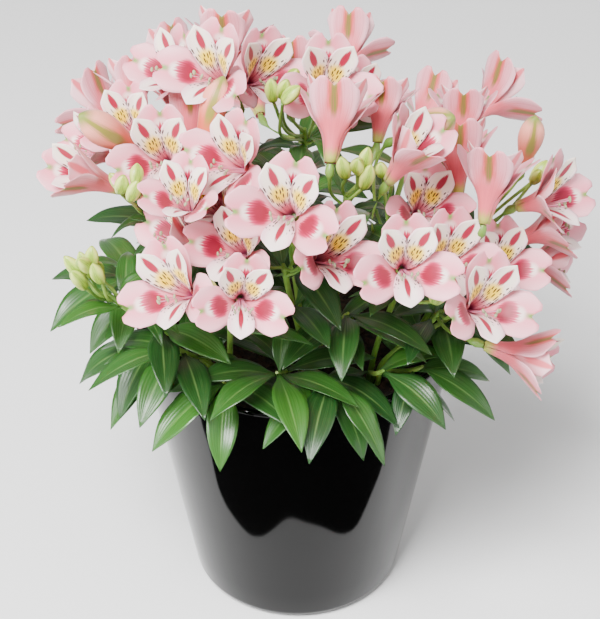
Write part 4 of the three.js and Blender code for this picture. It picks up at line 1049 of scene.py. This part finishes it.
def leaf_finish(name, dark, light):
    leaf = Finish(name, Roughness=0.34, Coat_Weight=0.3, **GREEN)
    leaf.read_blade()
    tint = add(leaf.tree, "ShaderNodeAttribute", attribute_name="tint").outputs["Fac"]
    veins = leaf.streaks(30.0, 1.2)
    midrib = leaf.mask((leaf.aside, 0.09, 0.02), (leaf.along, 1.0, 0.5))
    colour = leaf.coats(
        dark,
        (light, tint),
        ("#255420", leaf.calc("MULTIPLY", leaf.noise(90.0, 3.0), 0.5)),
        ("#8DB065", leaf.calc("MULTIPLY", leaf.mask((veins, 0.45, 0.75)), 0.1)),
        ("#7FA35A", leaf.calc("MULTIPLY", midrib, 0.3)),
    )
    ridges = leaf.calc("SINE", leaf.calc("MULTIPLY", leaf.across, RIDGES), 0.0)
    return leaf.done(colour, leaf.calc("ADD", leaf.calc("MULTIPLY", ridges, 0.5), veins), 0.3, 0.0002)


def stem_finish():
    stem = Finish("living_stem", Roughness=0.42, Coat_Weight=0.1, **GREEN)
    patches = stem.mask((stem.noise(45.0), 0.35, 0.65))
    return stem.done(stem.coats("#5F8A34", ("#86A548", patches)))


def bud_finish():
    bud = Finish("living_bud", Roughness=0.4, Coat_Weight=0.15, **GREEN)
    bud.read_blade()
    return bud.done(bud.coats(
        "#9DBB3A",
        ("#C9D86A", bud.mask((bud.aside, 0.2, 0.9))),
        ("#5E8328", bud.mask((bud.streaks(20.0, 2.0), 0.5, 0.62), (bud.aside, 0.9, 0.3))),
        ("#5C7F2A", bud.mask((bud.along, 0.2, 0.0))),
    ))


green_materials = {"leaf_face": leaf_finish("living_leaf_face", "#0B3010", "#36681F"),
                   "leaf_back": leaf_finish("living_leaf_back", "#3F6438", "#6E8F55"),
                   "bud": bud_finish()}
stem_material = stem_finish()
print("green finishes:", len(green_materials) + 1)

# %% [markdown]
# ## Leaves
# The leaves are lance-shaped. Each blade arches through the middle line read from the solid, folds a
# little along its midrib and waves at its margins.

# %% Leaves
LEAF_ROWS, LEAF_COLUMNS = 16, 9
LEAF_SHARES = np.array([0, 0.42, 0.75, 1.0])
LEAF_WIDTHS = ([0, 0.08, 0.22, 0.42, 0.6, 0.75, 0.9, 1.0], [0.14, 0.2, 0.66, 1.0, 0.93, 0.68, 0.3, 0.02])
LEAF_THICKNESS = 0.7
LEAF_FOLD = 0.24
LEAF_FACES = blade_faces(LEAF_ROWS, LEAF_COLUMNS)


def leaf_points(places, leaf, chance):
    """The points of both sides of a leaf, and their places on the blade."""
    low, far = [places[i] for i in leaf["low"]], [places[i] for i in leaf["far"]]
    stops = np.array([centre_of(places, leaf["root"]), (low[1] + low[3]) / 2, (far[1] + far[3]) / 2,
                      places[leaf["tip"]]])
    share = np.linspace(0, 1, LEAF_ROWS)
    line = curve_through(LEAF_SHARES, stops, share)
    along = np.gradient(line, axis=0)
    along /= np.linalg.norm(along, axis=1)[:, None]
    half = np.linalg.norm(low[2] - low[0]) / 2
    ways = [low[2] - low[0], low[2] - low[0], far[2] - far[0], far[2] - far[0]]
    ways = np.array([w / np.linalg.norm(w) for w in ways])
    side = np.stack([np.interp(share, LEAF_SHARES, ways[:, k]) for k in range(3)], -1)
    side -= along * (side * along).sum(1)[:, None]
    side /= np.linalg.norm(side, axis=1)[:, None]
    face = np.cross(along, side)
    across = np.linspace(-1, 1, LEAF_COLUMNS)
    width = half * through(*LEAF_WIDTHS, share)
    wave = chance.uniform(0.3, 0.9) * np.sin(chance.uniform(0, 6.3) + share * chance.uniform(7, 12))
    lift = (LEAF_FOLD * width[:, None] * np.abs(across)[None, :] ** 1.3
            + wave[:, None] * np.sign(across) * across**2 * (width / half)[:, None])
    points = (line[:, None, :] + side[:, None, :] * (width[:, None] * across[None, :])[..., None]
              + face[:, None, :] * lift[..., None])
    thin = LEAF_THICKNESS / 2 * np.clip(1.05 - across**4, 0.2, 1)[None, :, None]
    offset = face[:, None, :] * thin * np.clip(1.1 - share**6, 0.2, 1)[:, None, None]
    return two_sides(points, offset, share[:, None], across[None, :])


def add_leaf(cloth, points, flat, chance, tints):
    cloth.add_blade(LEAF_FACES, points, flat, "leaf_face", "leaf_back")
    tints += [chance.random()] * len(points)


clothes = {}
for node, (places, leaves, _, _) in clumps.items():
    chance = random.Random(node)
    cloth, tints = Cloth(), []
    for leaf in leaves:
        add_leaf(cloth, *leaf_points(places, leaf, chance), chance, tints)
    clothes[node] = (cloth, tints)
print("leaves read from the solids:", sum(len(c[1]) for c in clumps.values()))

# %% [markdown]
# ## Stems and stalks
# Stems and stalks become paths through the middles of their rings. A stalk that ends in a bud gets the
# bud as a spindle. A stem whose rings end above the soil is led on down into it.

# %% Stems and stalks
BUD_PROFILE = ([0, 0.2, 0.5, 0.8, 1.0], [0.5, 0.8, 1.0, 0.72, 0.12])
ROUNDING = 0.86
CROWN_LIMIT = 170
FOOT_DEPTH = 4
STEM_DEPTH = 6
FOOT_INWARD = 0.96
TOP_TAPER = 0.6


def path_through(places, ring_list):
    """The middles and radii of a list of rings."""
    radii = [radius_of(places, ring) * ROUNDING for ring in ring_list]
    return [centre_of(places, ring) for ring in ring_list], radii


def stem_paths(node):
    """A smooth path and its radii for every stem, from the soil up."""
    places, _, _, stems = clumps[node]
    feet = [centre_of(places, stem["rings"][-1]) for stem in stems]
    crown = np.mean([foot for foot in feet if foot[2] < CROWN_LIMIT] or [feet[0]], axis=0)
    paths = []
    for stem, foot in zip(stems, feet):
        stops, radii = path_through(places, stem["rings"][::-1])
        if foot[2] > SOIL_LEVEL - FOOT_DEPTH:
            below = foot * FOOT_INWARD if foot[2] < CROWN_LIMIT else crown
            stops.insert(0, np.array([below[0], below[1], SOIL_LEVEL - STEM_DEPTH]))
            radii.insert(0, radii[0])
        paths.append(bent_path(stops + [places[stem["tip"]]], radii + [radii[-1] * TOP_TAPER], 4.0))
    return paths


def stalk_paths(node, cloth):
    """A path for every stalk. A stalk that ends in a bud gets the bud too."""
    places, _, stalks, _ = clumps[node]
    paths = []
    for stalk in stalks:
        stops, radii = path_through(places, stalk["rings"][::-1])
        stops.insert(0, centre_of(places, stalk["root"]))
        if stalk["bud"]:
            add_spindle(cloth, stops[2], places[stalk["tip"]], swelling(BUD_PROFILE, radii[2] * 1.1),
                        3, 0.09, "bud", sides=18, rings=10)
            stops, radii = stops[:3], radii[:2]
        paths.append(bent_path(stops, [radii[0]] + radii, 2.0))
    return paths


print("stems:", sum(len(c[3]) for c in clumps.values()), "stalks:", sum(len(c[2]) for c in clumps.values()))

# %% [markdown]
# ## Leaves along the stems
# A stem carries a small leaf every centimetre or two, all the way up. They are grown here where there is
# room: a grid of small cells remembers which places petals and leaves have taken, and a leaf is kept only
# if it stays clear of them and hides no flower from the eye.

# %% Room for small leaves
CELL = 3.0
GRID_LOW = np.array(cad_box[0]) / MM - 2 * CELL
GRID_HIGH = np.array(cad_box[1]) / MM + 2 * CELL
taken = np.zeros(((GRID_HIGH - GRID_LOW) / CELL).astype(int) + 3, bool)
LEAF_STEP = 7
TRIES = 20
SMALL_LEAF_LENGTHS = (20, 44)
SMALL_LEAF_RISES = (15, 65)
SMALL_LEAF_WIDTHS = (0.12, 0.16)
GOLDEN_TURN = 137.5
LOWEST_LEAF = 172
BASE_FREE = 8
FACE_HEIGHT = 22
FLOWER_FACE = 21


def cells_of(points):
    return np.clip(((points - GRID_LOW) / CELL).astype(int), 1, np.array(taken.shape) - 2)


def take(points):
    """Marks the cells of the points and all cells next to them."""
    cells = cells_of(points)
    for x in (-1, 0, 1):
        for y in (-1, 0, 1):
            for z in (-1, 0, 1):
                taken[cells[:, 0] + x, cells[:, 1] + y, cells[:, 2] + z] = True


for item in bpy.data.objects:
    if item.name.startswith("petals_"):
        places = np.zeros(len(item.data.vertices) * 3)
        item.data.vertices.foreach_get("co", places)
        take(places.reshape(-1, 3) / MM)
for cloth, _ in clothes.values():
    take(np.concatenate(cloth.points))

faces_seen = np.array([f["place"] + f["axes"][2] * FACE_HEIGHT * f["size"] for f in flowers])
sights = faces_seen - EYE
face_gaps = np.linalg.norm(sights, axis=1)
sights /= face_gaps[:, None]


def has_room(shell, base):
    """Whether a leaf is free of what grows already, above the rim, and before no flower's face."""
    points = shell[::5]
    points = points[np.linalg.norm(points - base, axis=1) > BASE_FREE]
    if (points[:, 2] < LOWEST_LEAF).any():
        return False
    if (points < GRID_LOW + 3 * CELL).any() or (points > GRID_HIGH - 3 * CELL).any():
        return False
    cells = cells_of(points)
    if taken[cells[:, 0], cells[:, 1], cells[:, 2]].any():
        return False
    ways = points - EYE
    deep = ways @ sights.T
    aside = np.sqrt(np.maximum((ways**2).sum(1)[:, None] - deep**2, 0))
    return not ((deep < face_gaps - 2) & (aside < FLOWER_FACE)).any()


def small_leaf(base, heading, rise, length, half):
    """The corners of a leaf that arches over, laid out like those read from a solid."""
    out = compass(heading, 0)
    side = np.cross(UP, out)
    stops, place = [], base
    for share, bend in ((0.42, 5), (0.33, 35), (0.25, 65)):
        tilt = math.radians(rise - bend)
        place = place + (out * math.cos(tilt) + UP * math.sin(tilt)) * length * share
        stops.append(place)
    low, far, tip = stops
    rows = [base] * 4 + [low - side * half, low, low + side * half, low]
    rows += [far - side * half * 0.66, far, far + side * half * 0.66, far, tip]
    return np.array(rows), dict(root=[0, 1, 2, 3], low=[4, 5, 6, 7], far=[8, 9, 10, 11], tip=12)


def leafy_stem(line, cloth, tints, chance):
    """Grows small leaves up one stem and counts them."""
    count, turn = 0, chance.uniform(0, 360)
    way = lengths_along(line)
    at = LEAF_STEP
    while at < way[-1] - 4:
        base = np.array([np.interp(at, way, line[:, k]) for k in range(3)])
        at += LEAF_STEP
        for _ in range(TRIES):
            turn += GOLDEN_TURN
            length = chance.uniform(*SMALL_LEAF_LENGTHS)
            rise = chance.uniform(*SMALL_LEAF_RISES)
            half = length * chance.uniform(*SMALL_LEAF_WIDTHS)
            shape = small_leaf(base, turn, rise, length, half)
            shell, flat = leaf_points(*shape, chance)
            if base[2] > LOWEST_LEAF and has_room(shell, base):
                add_leaf(cloth, shell, flat, chance, tints)
                take(shell)
                count += 1
                break
    return count


# %% [markdown]
# ## The green pieces
# Each clump is put together from its leaves, its buds and the tubes of its stems and stalks.

# %% Green pieces
def dress_clump(node):
    cloth, tints = clothes[node]
    stems = stem_paths(node)
    chance = random.Random(node + " small")
    count = sum(leafy_stem(line, cloth, tints, chance) for line, _ in stems)
    paths = stalk_paths(node, cloth) + stems
    body = cloth.build("leaves", green_materials)
    tints += [0.5] * (len(body.data.vertices) - len(tints))
    body.data.attributes.new("tint", "FLOAT", "POINT").data.foreach_set("value", tints)
    stalk_tubes = tubes("stalks", paths, 10, stem_material)
    piece = joined(node.replace("leafy_clump", "greens"), [body, stalk_tubes])
    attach(piece, "root")
    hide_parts(node)
    print(piece.name, "small leaves", count, "faces", len(piece.data.polygons))


for node in clump_nodes:
    dress_clump(node)

# %% [markdown]
# ## The pot
# A glazed earthenware cover pot is thrown or cast, and its glaze pools a little, so its gloss is nearly
# that of a mirror with the faintest waves in it. The wall is turned here from a profile with a rounded
# foot and lip, in many more steps than the solid has.

# %% Pot
RIM_RADIUS = 82
FOOT_RADIUS = 55.5
POT_HEIGHT = 163
WALL = 4.5
FLOOR = 6
FOOT_ROUNDING = 7
POT_TURNS = 128
UNDERSIDE = 12


def pot_profile():
    """Radius and height, from the middle of the underside, up the outside, and down the inside."""
    slope = math.atan2(RIM_RADIUS - FOOT_RADIUS, POT_HEIGHT)
    inset = FOOT_ROUNDING * (1 / math.cos(slope) - math.tan(slope))
    profile = [(FOOT_RADIUS - inset - UNDERSIDE, 0)]
    for i in range(9):
        turn = -math.pi / 2 + i / 8 * (math.pi / 2 - slope)
        profile.append((FOOT_RADIUS - inset + math.cos(turn) * FOOT_ROUNDING,
                        FOOT_ROUNDING + math.sin(turn) * FOOT_ROUNDING))
    lip = WALL / 2
    for i in range(1, 12):
        height = FOOT_ROUNDING + (POT_HEIGHT - lip - FOOT_ROUNDING) * i / 12
        profile.append((FOOT_RADIUS + (RIM_RADIUS - FOOT_RADIUS) * height / (POT_HEIGHT - lip), height))
    for i in range(9):
        turn = math.pi * i / 8
        profile.append((RIM_RADIUS - lip + math.cos(turn) * lip, POT_HEIGHT - lip + math.sin(turn) * lip))
    profile.append((FOOT_RADIUS - WALL, FLOOR))
    return profile


def turned(name, profile, turns, finish, lift=lambda ring, i: 0):
    """Turns a profile about the pot's axis and closes it on the axis. Lift raises single points."""
    points = [(0, 0, profile[0][1]), (0, 0, profile[-1][1])]
    for ring, (radius, height) in enumerate(profile):
        for i in range(turns):
            turn = i / turns * math.tau
            points.append((radius * math.cos(turn), radius * math.sin(turn), height + lift(ring, i)))
    faces = ring_faces(len(profile), turns)
    cloth = Cloth()
    cloth.add(np.array(points, float), faces, ["only"] * len(faces))
    return cloth.build(name, {"only": finish})


glaze = Finish("black_glazed_earthenware", Roughness=0.06, IOR=1.4, Specular_IOR_Level=0.3,
               Base_Color="#020202")
pot = turned("pot_glazed", pot_profile(), POT_TURNS, glaze.done(None, glaze.noise(28.0, 1.0), 0.12, 0.001))
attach(pot, "root")
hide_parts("pot")
print("pot faces:", len(pot.data.polygons))

# %% [markdown]
# ## Soil
# Potting soil is peat with crumbs in it. A disc with a random relief makes the ground, and a node tree
# scatters crumbs of several sizes over it.

# %% Soil
SOIL_REACH = 75.0
SOIL_RINGS, SOIL_TURNS = 26, 96
SOIL_DEPTH = 12
SOIL_TAPER = 0.97
SOIL_RELIEF = 2.2
CRUMB_SIZE = 1.5
CRUMBS_PER_SQUARE_METRE = 60000.0


def soil_finish():
    peat = Finish("peat_potting_soil", Roughness=0.95)
    clods = peat.noise(260.0, 6.0)
    return peat.done(peat.coats("#120B07", ("#3A281B", peat.mask((clods, 0.35, 0.7)))), clods, 0.9, 0.0015)


def crumb_tree():
    tree, given = new_tree("crumbs_on_soil", Density="Float", Crumb_size="Float", Finish="Material")
    upward = add(tree, "ShaderNodeSeparateXYZ", {0: add(tree, "GeometryNodeInputNormal").outputs[0]})
    facing = add(tree, "FunctionNodeCompare", {0: upward.outputs[2], 1: 0.5}, operation="GREATER_THAN")
    spots = add(tree, "GeometryNodeDistributePointsOnFaces", {
        "Mesh": given["Geometry"], "Selection": facing.outputs[0], "Density": given["Density"], "Seed": 7})
    crumb = add(tree, "GeometryNodeMeshIcoSphere", {"Radius": given["Crumb size"], "Subdivisions": 1})
    chances = []
    for seed, low, high in ((3, (0.3, 0.3, 0.2), (1.1, 0.9, 0.6)), (5, (0, 0, 0), (0.6, 0.6, math.tau))):
        chance = add(tree, "FunctionNodeRandomValue", {
            "Seed": seed, "Min": low, "Max": high}, data_type="FLOAT_VECTOR")
        chances.append(chance.outputs["Value"])
    placed = add(tree, "GeometryNodeInstanceOnPoints", {
        "Points": spots.outputs["Points"], "Instance": crumb.outputs["Mesh"],
        "Scale": chances[0], "Rotation": chances[1]})
    whole = add(tree, "GeometryNodeJoinGeometry", {0: given["Geometry"]})
    tree.links.new(placed.outputs[0], whole.inputs[0])
    return close_tree(tree, whole.outputs[0], given["Finish"])


chance = np.random.default_rng(LESSON_SEED)
lumps = chance.uniform(-1, 1, (SOIL_RINGS, SOIL_TURNS))
lumps = (lumps + np.roll(lumps, 1, 1) + np.roll(lumps, -1, 1) + np.roll(lumps, 1, 0)) / 4
lumps = np.concatenate([lumps[:-1], np.zeros((2, SOIL_TURNS))]) * SOIL_RELIEF
plug = [(SOIL_REACH * (ring + 1) / SOIL_RINGS, SOIL_LEVEL) for ring in range(SOIL_RINGS)]
plug.append((SOIL_REACH * SOIL_TAPER, SOIL_LEVEL - SOIL_DEPTH))
soil_material = soil_finish()
ground = turned("ground", plug, SOIL_TURNS, soil_material, lambda ring, i: lumps[ring, i])
soil = grown_by(crumb_tree(), ground.data, "soil_surface", Density=CRUMBS_PER_SQUARE_METRE,
                Crumb_size=CRUMB_SIZE * MM, Finish=soil_material)
bpy.data.objects.remove(ground)
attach(soil, "root")
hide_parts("soil")
print("soil faces:", len(soil.data.polygons))

# %% [markdown]
# ## The studio
# The plant stands on a white sheet under soft light: a large panel above and in front, a tall one at the
# left and a fill from the right. The wall of the pot leans out, so from above it mirrors the table before
# it. A black card with a wavy edge lies there, just under the picture's lower edge: the lower half of the
# glaze shows the sheet, the upper half shows the card and stays black.

# %% Studio
def panel(name, place, aim, size, power):
    """A soft rectangular light, turned towards a point."""
    light = new_object(name, bpy.data.lights.new(name, "AREA"))
    light.data.shape = "RECTANGLE"
    light.data.size, light.data.size_y = size
    light.data.energy = power
    light.location = place
    light.rotation_euler = (Vector(aim) - Vector(place)).to_track_quat("-Z", "Y").to_euler()


AIM = (0, 0, 0.2)
panel("panel_above", (-0.35, -0.8, 1.4), AIM, (0.6, 0.6), 62)
panel("panel_left", (-1.0, -0.6, 0.5), AIM, (0.35, 1.1), 15)
panel("panel_right", (1.2, -0.5, 0.7), AIM, (0.8, 1.0), 7)


def sheet(name, reach, edge, back, height, colour):
    """A flat sheet, in metres, from an edge that may wave to a straight one."""
    steps = 160
    across = [-reach + 2 * reach * i / steps for i in range(steps + 1)]
    points = [(x, edge(x), height) for x in across] + [(x, back, height) for x in across]
    faces = [(i, i + 1, i + steps + 2, i + steps + 1) for i in range(steps)]
    mesh = bpy.data.meshes.new(name)
    mesh.from_pydata(points, [], faces)
    mesh.materials.append(Finish(name + "_finish", Roughness=0.9, Base_Color=colour).material)
    new_object(name, mesh)


def card_edge(x):
    """Near the pot at the sides, further off in front of it, with small waves."""
    return -0.065 - 0.052 * math.exp(-(x / 0.06) ** 2) + 0.0016 * math.sin(x * 110 + 0.6)


sheet("white_sheet", 6, lambda x: -6, 6, 0, "#F8F8F8")
sheet("black_card", 0.3, card_edge, -0.34, 0.0008, "#060606")

world = bpy.data.worlds.new("studio")
bpy.context.scene.world = world
world.use_nodes = True
background = world.node_tree.nodes["Background"].inputs
background["Color"].default_value = linear("#FFFFFF")
background["Strength"].default_value = 0.5
print("lights:", len(bpy.data.lights))

# %% [markdown]
# ## Sizes
# The box that the solids fill is printed. The dressed part has to fill the same box as the
# solids.

# %% Sizes and finish
print("solid box", [[round(x, 4) for x in c] for c in cad_box])
